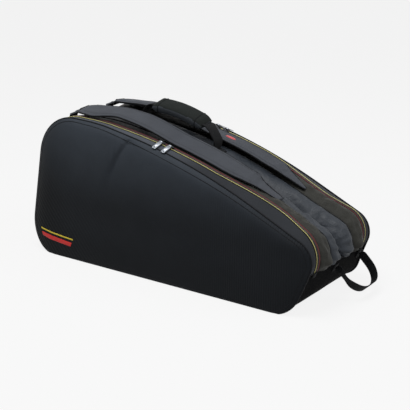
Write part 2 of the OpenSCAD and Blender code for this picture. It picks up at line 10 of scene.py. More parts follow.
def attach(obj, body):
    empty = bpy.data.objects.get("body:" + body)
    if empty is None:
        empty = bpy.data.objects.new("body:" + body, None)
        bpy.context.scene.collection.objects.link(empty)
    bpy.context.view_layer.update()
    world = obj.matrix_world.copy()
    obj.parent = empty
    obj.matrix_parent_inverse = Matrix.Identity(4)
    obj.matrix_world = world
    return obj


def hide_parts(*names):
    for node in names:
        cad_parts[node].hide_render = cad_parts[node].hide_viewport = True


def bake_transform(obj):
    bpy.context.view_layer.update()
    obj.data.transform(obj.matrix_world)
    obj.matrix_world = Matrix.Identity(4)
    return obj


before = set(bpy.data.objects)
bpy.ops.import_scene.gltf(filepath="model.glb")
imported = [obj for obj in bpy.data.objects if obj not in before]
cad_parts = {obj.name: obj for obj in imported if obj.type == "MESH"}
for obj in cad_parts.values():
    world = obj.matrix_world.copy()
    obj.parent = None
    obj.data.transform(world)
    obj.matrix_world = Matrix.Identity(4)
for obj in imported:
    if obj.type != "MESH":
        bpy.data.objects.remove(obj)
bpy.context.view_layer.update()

MM = 0.001
SIDES = (("near", -1.0), ("far", 1.0))

# ---- driving sizes of the bag, in millimetres

HEAD_REACH = 400.0
TAIL_REACH = 336.0
SEAM_HALF = 125.0
FOOT_FLARE = 15.0
FACE_HALF = 150.0
ZIP_END_Z = 92.0
HEAD_H = 338.0
SHOULDER = (-170.0, 331.0)
MIDDLE = (89.0, 289.18)
TAIL_H = 147.0
HEAD_LEAN = 0.19
TAIL_LEAN = 0.38
HEAD_R = 108.0
SHOULDER_R = 500.0
TOP_R = 1420.0
TAIL_R = 60.0
HEAD_FOOT_R = 74.0
TAIL_FOOT_R = 58.0
SEAM_DROP = 10.0
BELLOW_HALF = 48.0
FOLD_DROP = 9.0
VALLEY_DEPTH = 20.0
ZIP_HALF = 103.0
ZIP_SLIT = 0.6
TAPE_W = 7.2
STRAP_Y = 61.0
SWAY, SWAY_X, SWAY_LEAD, SWAY_TRAIL, SWAY_START = 0.172, 283.0, 115.0, 60.0, 0.19
TAPE_OUT = ZIP_HALF + ZIP_SLIT + TAPE_W
TAPE_IN = ZIP_HALF - ZIP_SLIT - TAPE_W


# ---- outline

def columns(*axes):
    """Points from the arrays of their coordinates."""
    return np.stack(axes, axis=1)


def unit(v):
    return v / np.linalg.norm(v)


def round_corner(a, v, b, r, n):
    """Points of the round of radius r that replaces corner v between a and b."""
    a, v, b = (np.array(p, float) for p in (a, v, b))
    u1, u2 = unit(a - v), unit(b - v)
    half = acos(float(u1 @ u2)) / 2
    centre = v + unit(u1 + u2) * r / sin(half)
    d1 = v + u1 * r / tan(half) - centre
    d2 = v + u2 * r / tan(half) - centre
    turn = pi - 2 * half
    return [centre + (d1 * sin((1 - k / n) * turn) + d2 * sin(k / n * turn)) / sin(turn)
            for k in range(n + 1)]


def turned(degrees):
    """Cosine and sine of an angle."""
    return cos(radians(degrees)), sin(radians(degrees))


def straight(a, b, n):
    """n points from a towards b, with neither end."""
    a, b = np.array(a, float), np.array(b, float)
    return [a + (b - a) * (k + 1) / (n + 1) for k in range(n)]


def top_path(e=0.0, d=0.0, dh=0.0):
    """The bag's outline above the zip ends, handle end first. e draws the ends in, d and dh lower the top."""
    c = [(TAIL_REACH - e + TAIL_LEAN * ZIP_END_Z, ZIP_END_Z),
         (TAIL_REACH - e + TAIL_LEAN * (TAIL_H - d), TAIL_H - d),
         (MIDDLE[0], MIDDLE[1] - d),
         (SHOULDER[0], SHOULDER[1] - dh),
         (-HEAD_REACH + e + HEAD_LEAN * (HEAD_H - dh), HEAD_H - dh),
         (-HEAD_REACH + e + HEAD_LEAN * ZIP_END_Z, ZIP_END_Z)]
    rounds = [round_corner(c[0], c[1], c[2], TAIL_R - 1.4 * max(d, 0), 22),
              round_corner(c[1], c[2], c[3], TOP_R, 60),
              round_corner(c[2], c[3], c[4], SHOULDER_R, 8),
              round_corner(c[3], c[4], c[5], HEAD_R, 26)]
    path = [np.array(c[0])]
    fills = (8, 26, 6, 5, 20)
    for fill, arc in zip(fills, rounds):
        path += straight(path[-1], arc[0], fill) + arc
    path += straight(path[-1], c[5], fills[4]) + [np.array(c[5])]
    return np.array(path)


def head_foot(e=0.0):
    """From the zip end round the head end's foot to the floor."""
    a = (-HEAD_REACH + e + HEAD_LEAN * ZIP_END_Z, ZIP_END_Z)
    v = (-HEAD_REACH + e + HEAD_LEAN * e, e)
    arc = round_corner(a, v, (0, e), HEAD_FOOT_R - e, 16)
    return np.array([np.array(a)] + straight(a, arc[0], 3) + arc)


def tail_foot(e=0.0):
    """From the floor round the handle end's foot to the zip end."""
    b = (TAIL_REACH - e + TAIL_LEAN * ZIP_END_Z, ZIP_END_Z)
    v = (TAIL_REACH - e + TAIL_LEAN * e, e)
    arc = round_corner((0, e), v, b, TAIL_FOOT_R - e, 10)
    return np.array(arc + straight(arc[-1], b, 10) + [np.array(b)])


def end_half(z):
    """Half width of the bag's ends, which flare towards the floor."""
    return SEAM_HALF + FOOT_FLARE * (1 - np.minimum(np.asarray(z, float) / ZIP_END_Z, 1)) ** 2


def run_of(path):
    """Length of a path up to each of its points."""
    return np.concatenate([[0], np.cumsum(np.linalg.norm(np.diff(path, axis=0), axis=1))])


def at_runs(path, run, at):
    """Points of a path at given lengths along it."""
    return np.stack([np.interp(at, run, axis) for axis in path.T], axis=1)


def outward(path):
    """Unit normals of an outline that runs from the handle end to the head end."""
    t = np.gradient(path, axis=0)
    t /= np.linalg.norm(t, axis=1)[:, None]
    return columns(t[:, 1], -t[:, 0])


TOP = top_path()
TOP_OUT = outward(TOP)
TOP_RUN = run_of(TOP)
UPPER = TOP[(TOP[:, 1] > TAIL_H)][::-1]


def top_z(x):
    """Height of the top at the zip, over place x."""
    return float(np.interp(x, UPPER[:, 0], UPPER[:, 1]))


def sway(x, y):
    """Depth y drawn in towards the middle where the soft top narrows before the handle end."""
    x = np.asarray(x, float)
    share = np.interp(np.abs(y), (111, 124), (SWAY, 0.0))
    near = np.exp(-((x - SWAY_X) / np.where(x < SWAY_X, SWAY_LEAD, SWAY_TRAIL)) ** 2)
    lead = np.maximum(0.0, (near - SWAY_START) / (1 - SWAY_START))
    return y * (1 - share * np.where(x < SWAY_X, lead, near))


def swayed(obj):
    """Draws a finished piece in with the soft top that it lies on."""
    for v in obj.data.vertices:
        v.co.y = float(sway(v.co.x / MM, v.co.y / MM)) * MM
    return obj


def rail(y, e=0.0, d=0.0, dh=None):
    p = top_path(e, d, d if dh is None else dh)
    return columns(p[:, 0], sway(p[:, 0], float(y)), p[:, 1])


# ---- mesh helpers

def shown(name, mesh, material):
    """Puts a mesh into the scene with smooth faces."""
    mesh.materials.append(material)
    for face in mesh.polygons:
        face.use_smooth = True
    obj = bpy.data.objects.new(name, mesh)
    bpy.context.scene.collection.objects.link(obj)
    return obj


def mesh_object(name, verts, faces, material):
    mesh = bpy.data.meshes.new(name)
    mesh.from_pydata([tuple(v) for v in np.asarray(verts, float) * MM], [], faces)
    return shown(name, mesh, material)


def tidy(obj, merge=0.00005):
    """Merges doubled points and turns all faces outwards."""
    bm = bmesh.new()
    bm.from_mesh(obj.data)
    bmesh.ops.remove_doubles(bm, verts=bm.verts, dist=merge)
    bmesh.ops.recalc_face_normals(bm, faces=bm.faces)
    bm.to_mesh(obj.data)
    bm.free()
    return obj


def grid_faces(rows, cols, wrap_rows=False, wrap_cols=False):
    faces = []
    for r in range(rows if wrap_rows else rows - 1):
        for c in range(cols if wrap_cols else cols - 1):
            r1, c1 = (r + 1) % rows, (c + 1) % cols
            faces.append((r * cols + c, r1 * cols + c, r1 * cols + c1, r * cols + c1))
    return faces


def sheet(name, rails, material, thickness, normals_up=True):
    """A closed sheet: a grid of points and its copy, thickness below it along the grid's normals."""
    p = np.asarray(rails, float)
    du = np.gradient(p, axis=0)
    dv = np.gradient(p, axis=1)
    n = np.cross(dv, du)
    n /= np.maximum(np.linalg.norm(n, axis=2), 1e-9)[..., None]
    if not normals_up:
        n = -n
    low = p - n * thickness
    rows, cols = p.shape[:2]
    verts = np.concatenate([p.reshape(-1, 3), low.reshape(-1, 3)])
    k = rows * cols
    faces = grid_faces(rows, cols)
    faces += [tuple(i + k for i in reversed(f)) for f in grid_faces(rows, cols)]
    edge = [r * cols for r in range(rows)] + [(rows - 1) * cols + c for c in range(1, cols)]
    edge += [r * cols + cols - 1 for r in range(rows - 2, -1, -1)] + list(range(cols - 2, 0, -1))
    for a, b in zip(edge, edge[1:] + edge[:1]):
        faces.append((a, b, b + k, a + k))
    return tidy(mesh_object(name, verts, faces, material))


def tube_of_rings(name, rows, material, merge=0.00005, caps=False, closed=False):
    """A mesh over rings of points, with its first and last ring filled or joined to each other."""
    cols = len(rows[0])
    faces = grid_faces(len(rows), cols, closed, True)
    if caps:
        faces += [tuple(range(cols)), tuple((len(rows) - 1) * cols + k for k in range(cols))]
    return tidy(mesh_object(name, np.concatenate(rows), faces, material), merge)


def path_frames(path, closed=False):
    """Tangents of a path of points."""
    p = np.asarray(path, float)
    if closed:
        t = np.roll(p, -1, axis=0) - np.roll(p, 1, axis=0)
    else:
        t = np.gradient(p, axis=0)
    return t / np.maximum(np.linalg.norm(t, axis=1), 1e-9)[:, None]


def sweep(name, path, across, section, material, closed=False, scale=None):
    """Sweeps a closed section of (across, up) points along a path, with the across direction given."""
    p = np.asarray(path, float)
    t = path_frames(p, closed)
    a = np.asarray(across, float)
    a = np.broadcast_to(a, p.shape)
    a = a - t * np.sum(a * t, axis=1)[:, None]
    a = a / np.linalg.norm(a, axis=1)[:, None]
    up = np.cross(a, t)
    sec = np.asarray(section, float)
    if sec.ndim == 2:
        sec = np.broadcast_to(sec, (len(p),) + sec.shape)
    if scale is not None:
        sec = sec * np.asarray(scale, float).reshape(len(p), 1, -1)
    verts = p[:, None, :] + sec[..., :1] * a[:, None, :] + sec[..., 1:2] * up[:, None, :]
    rows, cols = verts.shape[:2]
    faces = grid_faces(rows, cols, closed, True)
    if not closed:
        faces += [tuple(range(cols)), tuple((rows - 1) * cols + c for c in reversed(range(cols)))]
    return tidy(mesh_object(name, verts.reshape(-1, 3), faces, material), merge=0.00001)


def circle(radius, sides=8, flat=1.0):
    return [(radius * cos(2 * pi * k / sides), radius * flat * sin(2 * pi * k / sides))
            for k in range(sides)]


def tube(name, path, radius, material, closed=False, sides=8, flat=1.0):
    return sweep(name, path, (0.0123, 0.994, 0.0321), circle(radius, sides, flat), material, closed)


def webbing_section(width, thick, round_r=0.6):
    """Flat webbing with softly rounded edges."""
    w, t = width / 2, thick / 2
    pts = []
    for sx, sy in ((1, 1), (-1, 1), (-1, -1), (1, -1)):
        corner = (sx * (w - round_r), sy * (t - min(round_r, t * 0.9)))
        start = {(1, 1): 0, (-1, 1): 90, (-1, -1): 180, (1, -1): 270}[(sx, sy)]
        for k in range(4):
            c, s_ = turned(start + 30 * k)
            pts.append((corner[0] + round_r * c, corner[1] + min(round_r, t * 0.9) * s_))
    return pts


def pad_section(width, top, bottom, groove=0.0, groove_at=0.74, steps=30):
    """A padded band: crowned above, flatter below, with a stitched groove along each edge."""
    us = np.cos(np.linspace(0, pi, steps))
    crown = (1 - np.abs(us) ** 3.2) ** 0.55
    dip = groove * (np.exp(-((us - groove_at) / 0.05) ** 2) + np.exp(-((us + groove_at) / 0.05) ** 2))
    upper = [(width / 2 * u, top * c - g) for u, c, g in zip(us, crown, dip)]
    lower = [(width / 2 * u, -bottom * c) for u, c in zip(us[::-1][1:-1], crown[::-1][1:-1])]
    return upper + lower


def catmull(points, per=8):
    """A smooth curve through given points."""
    p = [np.array(q, float) for q in points]
    p = [2 * p[0] - p[1]] + p + [2 * p[-1] - p[-2]]
    out = []
    for i in range(1, len(p) - 2):
        for k in range(per):
            t = k / per
            out.append(0.5 * (2 * p[i] + (p[i + 1] - p[i - 1]) * t
                              + (2 * p[i - 1] - 5 * p[i] + 4 * p[i + 1] - p[i + 2]) * t * t
                              + (3 * p[i] - p[i - 1] - 3 * p[i + 1] + p[i + 2]) * t ** 3))
    out.append(p[-2])
    return np.array(out)


def ripple(p, size, amount, seed=0.0):
    """Soft uneven swelling of cloth at a point, in millimetres."""
    return amount * noise.noise(Vector((p[0] / size + seed, p[1] / size + 2 * seed, p[2] / size - seed)))


def add(obj, body, slot, *nodes):
    """Puts a finished piece on its body and hides the nodes it stands for. The slot argument is not used."""
    if nodes:
        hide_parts(*nodes)
    if body:
        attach(obj, body)
    return obj


# ---- materials

def srgb(r, g, b):
    """A colour as seen in the photograph, 0 to 255, as linear values."""
    return tuple((c / 255 / 12.92) if c / 255 <= 0.04045 else ((c / 255 + 0.055) / 1.055) ** 2.4
                 for c in (r, g, b)) + (1.0,)


def nodes_of(name):
    mat = bpy.data.materials.new(name)
    mat.use_nodes = True
    tree = mat.node_tree
    return mat, tree, tree.nodes["Principled BSDF"]


def plug(tree, n, **values):
    """Sets or links a node's inputs, an underscore in a name standing for a space, and its properties."""
    for key, value in values.items():
        name = key.replace("_", " ")
        if name not in n.inputs:
            setattr(n, key, value)
        elif isinstance(value, bpy.types.NodeSocket):
            tree.links.new(value, n.inputs[name])
        else:
            n.inputs[name].default_value = value
    return n


def node(tree, kind, **values):
    return plug(tree, tree.nodes.new("ShaderNode" + kind), **values)


def object_coord(tree):
    return node(tree, "TexCoord").outputs["Object"]


def maths(tree, operation, a, b):
    n = node(tree, "Math", operation=operation)
    for socket, value in zip(n.inputs, (a, b)):
        if isinstance(value, (int, float)):
            socket.default_value = value
        else:
            tree.links.new(value, socket)
    return n.outputs[0]


def ramp(tree, tone, dark, light, start=0.0, end=1.0):
    """Colour that runs from dark to light as the tone rises."""
    n = node(tree, "ValToRGB", Fac=tone)
    for stop, at, colour in zip(n.color_ramp.elements, (start, end), (dark, light)):
        stop.position = at
        stop.color = tuple(min(1, c) for c in colour[:3]) + (1,)
    return n.outputs["Color"]


def bump(tree, height, strength, distance, under=None):
    """Surface relief, laid over the relief under it."""
    n = node(tree, "Bump", Height=height, Strength=strength, Distance=distance)
    if under is not None:
        tree.links.new(under, n.inputs["Normal"])
    return n.outputs["Normal"]


def fade_share(tree, coord, fades):
    """Product of slow changes of tone, each (axis, from, to, gain past to), in millimetres."""
    split = node(tree, "SeparateXYZ", Vector=coord)
    share = 1.0
    for axis, start, end, gain in fades:
        span = node(tree, "MapRange", interpolation_type="SMOOTHSTEP", Value=split.outputs[axis],
                    From_Min=start * MM, From_Max=end * MM, To_Min=1.0, To_Max=gain)
        share = maths(tree, "MULTIPLY", span.outputs[0], share)
    return share


WAVE = 0.314        # scale of a wave texture whose stripes are one unit apart
BLOTCH = 60.0       # size of the uneven patches of dye


def cloth(name, seen, rough=0.7, thread=1.5, weave=0.35, vary=0.18, specular=0.35, wrinkle=0.0,
          wrinkle_size=20.0, fades=(), ribs=()):
    """Woven cloth: two sets of threads, uneven dye, soft wrinkles and embossed ribs. Its colour is scaled by the
    fades, which paint light and shade on the side panels and shade on the inner gusset, and darken the outer gusset
    towards the handle end.
    """
    mat, tree, bsdf = nodes_of(name)
    coord, colour = object_coord(tree), srgb(*seen)

    def wave(pitch, turn, **more):
        mapping = node(tree, "Mapping", Rotation=turn, Vector=coord)
        return node(tree, "TexWave", Scale=WAVE / (pitch * MM), Vector=mapping.outputs[0], **more).outputs["Fac"]

    turns = ((0.0, 0.0, 0.0), (0.0, radians(90), radians(38)))
    threads = maths(tree, "MULTIPLY", *(wave(thread, t, Distortion=0.6, Detail_Scale=4.0) for t in turns))
    broad = node(tree, "TexNoise", Scale=1000.0 / BLOTCH, Detail=4.0, Roughness=0.6, Vector=coord)
    fine = node(tree, "TexNoise", Scale=700.0, Detail=2.0, Vector=coord)
    tone = maths(tree, "ADD", maths(tree, "MULTIPLY", broad.outputs["Fac"], 0.6),
                 maths(tree, "ADD", maths(tree, "MULTIPLY", fine.outputs["Fac"], 0.25),
                       maths(tree, "MULTIPLY", threads, 0.25)))
    dye_and_painted_shade = ramp(tree, tone, [c * (1 - vary) for c in colour[:3]], [c * (1 + vary) for c in colour[:3]], 0.3, 0.8)
    # the fades scale the colour along the axes: painted light and shade on the panel, painted shade on the inner
    # gusset
    if fades:
        scaled = node(tree, "VectorMath", operation="SCALE", Scale=fade_share(tree, coord, fades))
        tree.links.new(dye_and_painted_shade, scaled.inputs[0])
        dye_and_painted_shade = scaled.outputs[0]
    relief = bump(tree, threads, weave, 0.0004)
    for turn, pitch, depth, places in ribs:
        height = maths(tree, "MULTIPLY", wave(pitch, (0.0, radians(turn), 0.0)), fade_share(tree, coord, places))
        relief = bump(tree, height, depth, 0.0012, relief)
    if wrinkle:
        folds = node(tree, "TexNoise", Scale=1000.0 / wrinkle_size, Detail=3.0, Distortion=0.6, Vector=coord)
        relief = bump(tree, folds.outputs["Fac"], wrinkle, 0.004, relief)
    plug(tree, bsdf, Base_Color=dye_and_painted_shade, Normal=relief, Roughness=rough, Specular_IOR_Level=specular)
    return mat


def hard(name, colour, rough, grain=900.0, dark=0.86, relief=0.12, **more):
    """Metal or rubber with a fine grain."""
    mat, tree, bsdf = nodes_of(name)
    fac = node(tree, "TexNoise", Scale=grain, Detail=3.0, Vector=object_coord(tree)).outputs["Fac"]
    plug(tree, bsdf, Base_Color=ramp(tree, fac, [c * dark for c in colour[:3]], colour), Roughness=rough,
         Normal=bump(tree, fac, relief, 0.0002), **more)
    return mat


RUBBER = {"grain": 500.0, "dark": 0.9, "relief": 0.1, "Specular_IOR_Level": 0.4}
# painted light and shade in the panel's colour: lighter towards the top, where the light from above falls, darker
# towards the head end and towards the bottom, which get less light
PANEL = cloth("panel_cloth", (26, 29, 33), rough=0.62, thread=1.6, weave=0.3, specular=0.1, wrinkle=0.05,
              wrinkle_size=60, fades=(("Z", 130, 310, 4.2), ("X", -210, -385, 0.3), ("Z", 110, 20, 0.7)),
              ribs=((40, 9.0, 0.35, (("X", -300, -60, 0.0), ("Z", 60, 260, 0.0))),
                    (0, 5.5, 0.35, (("X", 240, 60, 0.0),))))
BASE = cloth("base_cloth", (9, 9, 10), rough=0.8, thread=1.6, weave=0.3, specular=0.02, wrinkle=0.08)
OUTER = cloth("outer_gusset_cloth", (76, 80, 87), rough=0.65, weave=0.3, specular=0.12, wrinkle=0.15,
              fades=(("X", -10, 120, 0.34),))
# painted shade in the inner gusset's colour: darker from x 150 towards the head end, where the shoulder straps
# shade it
INNER = cloth("inner_gusset_cloth", (43, 43, 39), rough=0.6, weave=0.4, specular=0.2, wrinkle=0.6,
              wrinkle_size=14, fades=(("X", 150, 60, 0.15),))
BELLOW = cloth("bellow_cloth", (46, 51, 58), rough=0.5, weave=0.4, specular=0.3, wrinkle=0.55, wrinkle_size=16)
LINING = cloth("lining_cloth", (150, 153, 156), rough=0.45, weave=0.3, wrinkle=0.15)
STRAP = cloth("strap_cloth", (72, 75, 81), rough=0.75, thread=1.2, weave=0.35, specular=0.15, wrinkle=0.1,
              wrinkle_size=12)
BINDING = cloth("binding_tape", (26, 27, 29), rough=0.8, thread=0.9, weave=0.4, specular=0.1)
WEB = cloth("black_webbing", (20, 21, 23), rough=0.8, thread=1.3, weave=0.8, vary=0.3, specular=0.15)
GRIP_TOP = cloth("grip_top", (34, 37, 36), rough=0.8, thread=2.0, weave=0.6, specular=0.1, wrinkle=0.2)
GRIP = cloth("grip_wrap", (62, 66, 71), rough=0.75, thread=1.1, weave=0.3, specular=0.15, wrinkle=0.1)
YELLOW = cloth("yellow_trim", (214, 206, 138), rough=0.6, thread=0.8, weave=0.3, specular=0.15)
RED = cloth("red_tape", (78, 21, 22), rough=0.7, thread=0.8, weave=0.3)
TAPE = cloth("dark_tape", (24, 25, 26), rough=0.8, thread=0.8, weave=0.3, specular=0.1)
THREAD = cloth("stitch_thread", (64, 66, 70), rough=0.8, thread=0.5, weave=0.2)
PIPING = cloth("piping_cloth", (20, 22, 25), rough=0.65, thread=0.9, weave=0.3, specular=0.12)
STRIPE_RED = cloth("stripe_red", (214, 44, 40), rough=0.5, thread=1.2, weave=0.15, vary=0.06)
STRIPE_YELLOW = cloth("stripe_yellow", (232, 206, 60), rough=0.5, thread=1.2, weave=0.15, vary=0.06)
FOAM = cloth("divider_cloth", (40, 43, 47), rough=0.9, thread=1.2)
COIL = hard("zip_coil", srgb(24, 24, 25), 0.35, **RUBBER)
BOARD = hard("board", srgb(42, 42, 44), 0.6, **RUBBER)
PATCH = hard("patch", srgb(196, 62, 66), 0.4, **RUBBER)
PULL = hard("pull_metal", (0.30, 0.32, 0.35, 1), 0.38, Metallic=1.0)
SLIDER = hard("zip_metal", (0.06, 0.06, 0.065, 1), 0.4, Metallic=1.0)
LOCK = hard("lock_metal", (0.075, 0.08, 0.09, 1), 0.28, Metallic=1.0)


# ---- side panels

def even(path, step):
    """A closed outline with its points spread evenly."""
    p = np.concatenate([path, path[:1]])
    run = run_of(p)
    return at_runs(p, run, np.linspace(0, run[-1], int(run[-1] / step), endpoint=False))


RING = even(np.concatenate([top_path(0, SEAM_DROP, 0), head_foot()[1:],
                            straight(head_foot()[-1], tail_foot()[0], 60), tail_foot()[:-1]]), 3.2)
RING_MIDDLE = np.array([0.0, 1.5 * ZIP_END_Z])
PANEL_T = 8.0
BORDER_T = 3.0


def bulge(s):
    """How far the panel has risen to its full bulge, s being 1 at the seam and 0 in the middle."""
    u = 1 - s
    return 1 - 0.64 * np.exp(-u / 0.055) - 0.36 * np.exp(-u / 0.3)


def face_depth(seam_y, s):
    """Depth of a panel's outer face, s being 1 at the seam and 0 in the middle."""
    return seam_y + BORDER_T + (FACE_HALF - 1.5 - seam_y - BORDER_T) * bulge(s)


def uneven(p, s):
    """Soft unevenness of a panel's face, none at the seam."""
    fade = min(1.0, (1 - s) / 0.12)
    return ripple(p, 150, 1.6, 3.1) * fade + ripple(p, 55, 0.5, 8.7) * fade


CREASE = [(-82, 302), (-95, 284), (-112, 258), (-128, 226), (-140, 196), (-154, 168)]


def crease_depth(x, z):
    """A soft fold that runs down from the top seam, deepest in its middle."""
    pts = np.array(CREASE, float)
    best = 0.0
    for k in range(len(pts) - 1):
        a, b = pts[k], pts[k + 1]
        t = np.clip(((x - a[0]) * (b[0] - a[0]) + (z - a[1]) * (b[1] - a[1])) / ((b - a) @ (b - a)), 0, 1)
        off = a + (b - a) * t - np.array([x, z])
        dist = np.hypot(*off)
        run = (k + t) / (len(pts) - 1)
        depth = sin(pi * min(1, 0.45 + 0.55 * run)) * exp(-dist / (4.0 if off[0] > 0 else 17.0))
        best = max(best, depth)
    return best


def panel_points(scales, outer, side):
    """Rings of points of a panel's face, from the seam to the middle."""
    rings = []
    for s in scales:
        q = RING_MIDDLE + (RING - RING_MIDDLE) * s
        seam_y = end_half(RING[:, 1])
        if outer:
            y = face_depth(seam_y, s)
        else:
            y = seam_y + (FACE_HALF - PANEL_T - seam_y) * bulge(s)
        ring = columns(q[:, 0], side * y, q[:, 1])
        if outer:
            for p in ring:
                y_off = uneven(p, s)
                if side < 0:
                    y_off -= 5.0 * crease_depth(p[0], p[2]) * min(1.0, (1 - s) / 0.04)
                p[1] += side * y_off
        rings.append(ring)
    return rings


def across_fold(obj):
    """Bakes a piece's placement into its mesh."""
    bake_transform(obj)


def side_panel(label, side):
    outer_scales = np.concatenate([1 - np.linspace(0, 0.3, 26) ** 1.25 / 0.3 ** 0.25, np.linspace(0.68, 0.0, 30)])
    inner_scales = np.concatenate([np.linspace(0.0, 0.8, 14), 1 - np.linspace(0.16, 0, 6)])
    rings = panel_points(outer_scales, True, side)
    rows = rings[::-1] + panel_points(inner_scales[::-1], False, side)
    skin = tube_of_rings(f"{label}_panel_skin", rows, PANEL)
    add(skin, None, "panel_cloth", f"{label}_panel_upper", f"{label}_panel_lower")
    across_fold(skin)
    # lining on the inside of the opening part
    lining_scales = np.linspace(0.0, 0.965, 18)
    rows = [r - np.array([0, side * 0.6, 0]) for r in panel_points(lining_scales, False, side)]
    lining = tube_of_rings(f"{label}_lining", rows, LINING)
    bm = bmesh.new()
    bm.from_mesh(lining.data)
    low = [f for f in bm.faces if f.calc_center_median().z < (ZIP_END_Z + 8) * MM]
    bmesh.ops.delete(bm, geom=low, context="FACES")
    bm.to_mesh(lining.data)
    bm.free()
    add(lining, f"{label}_cover", "lining", f"{label}_panel_lining")
    # piping round the whole seam
    y = side * (end_half(RING[:, 1]) + 1.6)
    out = outward(RING)
    cord = columns(RING[:, 0] + out[:, 0] * 0.6, y, np.maximum(RING[:, 1] + out[:, 1] * 0.6, 1.9))
    piping = tube(f"{label}_seam_piping", cord, 1.9, PIPING, closed=True, sides=10)
    add(piping, None, "piping", f"{label}_piping")
    across_fold(piping)
    reach = np.linalg.norm(RING - RING_MIDDLE, axis=1)
    share = 1 - 9.0 / reach
    q = RING_MIDDLE + (RING - RING_MIDDLE) * share[:, None]
    seam_y = end_half(RING[:, 1])
    y = side * (face_depth(seam_y, share) - 0.15)
    welt = tube(f"{label}_edge_seam", columns(q[:, 0], y, q[:, 1]), 0.8, PIPING, closed=True, sides=8)
    add(welt, None, "piping")
    across_fold(welt)


for label, side in SIDES:
    side_panel(label, side)


# ---- stripes on the near panel

def panel_surface_y(x, z, side):
    """The y of the panel's outer face at a place, found along the line from the panel's middle."""
    v = np.array([x, z], float) - RING_MIDDLE
    ang = np.arctan2(RING[:, 1] - RING_MIDDLE[1], RING[:, 0] - RING_MIDDLE[0])
    order = np.argsort(ang)
    radius = np.linalg.norm(RING - RING_MIDDLE, axis=1)
    a = atan2(v[1], v[0])
    r = np.interp(a, ang[order], radius[order], period=2 * pi)
    zz = np.interp(a, ang[order], RING[order, 1], period=2 * pi)
    s = min(1.0, np.linalg.norm(v) / r)
    seam_y = float(end_half(zz))
    y = face_depth(seam_y, s)
    return side * (y + uneven((x, side * y, z), s))


def stripe(name, low, high, material, slot):
    """A printed stripe that lies on the near panel between two edge lines of (x, z) points."""
    rows = []
    for u in np.linspace(0, 1, 7):
        line = (1 - u) * np.array(low, float) + u * np.array(high, float)
        t = np.linspace(0, 1, len(line))
        fine = np.linspace(0, 1, 40)
        xs, zs = np.interp(fine, t, line[:, 0]), np.interp(fine, t, line[:, 1])
        rows.append([(x, panel_surface_y(x, z, -1.0) - 0.35, z) for x, z in zip(xs, zs)])
    return add(sheet(name, np.array(rows), material, 0.3), "bag_body", slot)


stripe("upper_stripe", [(-352, 57.5), (-316, 52.8), (-283, 50.4), (-245, 48.3)],
       [(-352, 60.8), (-316, 56.2), (-283, 53.6), (-245, 51.3)], STRIPE_YELLOW, "yellow_tape")
stripe("lower_stripe", [(-347, 42.0), (-326, 37.2), (-284, 33.9), (-253, 31.8)],
       [(-350, 50.6), (-318, 47.0), (-282, 43.8), (-249, 41.4)], STRIPE_RED, "red_tape")


# ---- gussets, zips and bellows

def run_share(x0, x1):
    """0 where the top lies before x0 and 1 past x1, eased between, along the bag."""
    t = np.clip((TOP[:, 0] - x0) / (x1 - x0), 0, 1)
    return t * t * (3 - 2 * t)


def strip(a, b, cols, swell, wobble=0.0, seed=0.0, dips=(0.0, 0.0), pleat=0.0):
    """Rails from rail a to rail b that swell outwards between them and bunch up at the handle end."""
    rails = []
    n3 = columns(TOP_OUT[:, 0], np.zeros(len(TOP_OUT)), TOP_OUT[:, 1])
    bunch = run_share(150, 290)
    roll = np.exp(-((TOP_RUN - 13) / 9) ** 2) - exp(-(13 / 9) ** 2)
    for u in np.linspace(0, 1, cols):
        p = a * (1 - u) + b * u
        edge = sin(pi * u)
        lift = swell * (4 * u * (1 - u)) ** 0.8 - dips[0] * exp(-u / 0.06) - dips[1] * exp((u - 1) / 0.06)
        q = p + n3 * np.reshape(lift + pleat * 2.0 * roll * edge, (-1, 1))
        if wobble:
            for k, point in enumerate(q):
                rise = ripple(point, 30, wobble * edge, seed) + ripple(point, 12, 0.35 * wobble * edge, seed)
                fold = noise.noise(Vector((TOP_RUN[k] / 15, point[1] / 60 + u, seed)))
                fold += 0.5 * noise.noise(Vector((TOP_RUN[k] / 42 + u * 1.5, point[1] / 13, seed + 5)))
                q[k] = point + n3[k] * (rise + pleat * bunch[k] * edge * fold)
        rails.append(q)
    return rails


def mirrored(points, side):
    q = np.array(points, float)
    q[..., 1] *= -side
    return q


def sunk(line, depth):
    """A rail let down by depth along the outline's normals, towards the handle end only."""
    normals = columns(TOP_OUT[:, 0], 0 * TOP_RUN, TOP_OUT[:, 1])
    return line - normals * (depth * run_share(120, 300))[:, None]


COIL_BEATS = 560
VALLEY_SINK, DIVIDER_SINK = 12.0, 14.0
VALLEY = sunk(rail(0, VALLEY_DEPTH / 2, VALLEY_DEPTH), VALLEY_SINK)

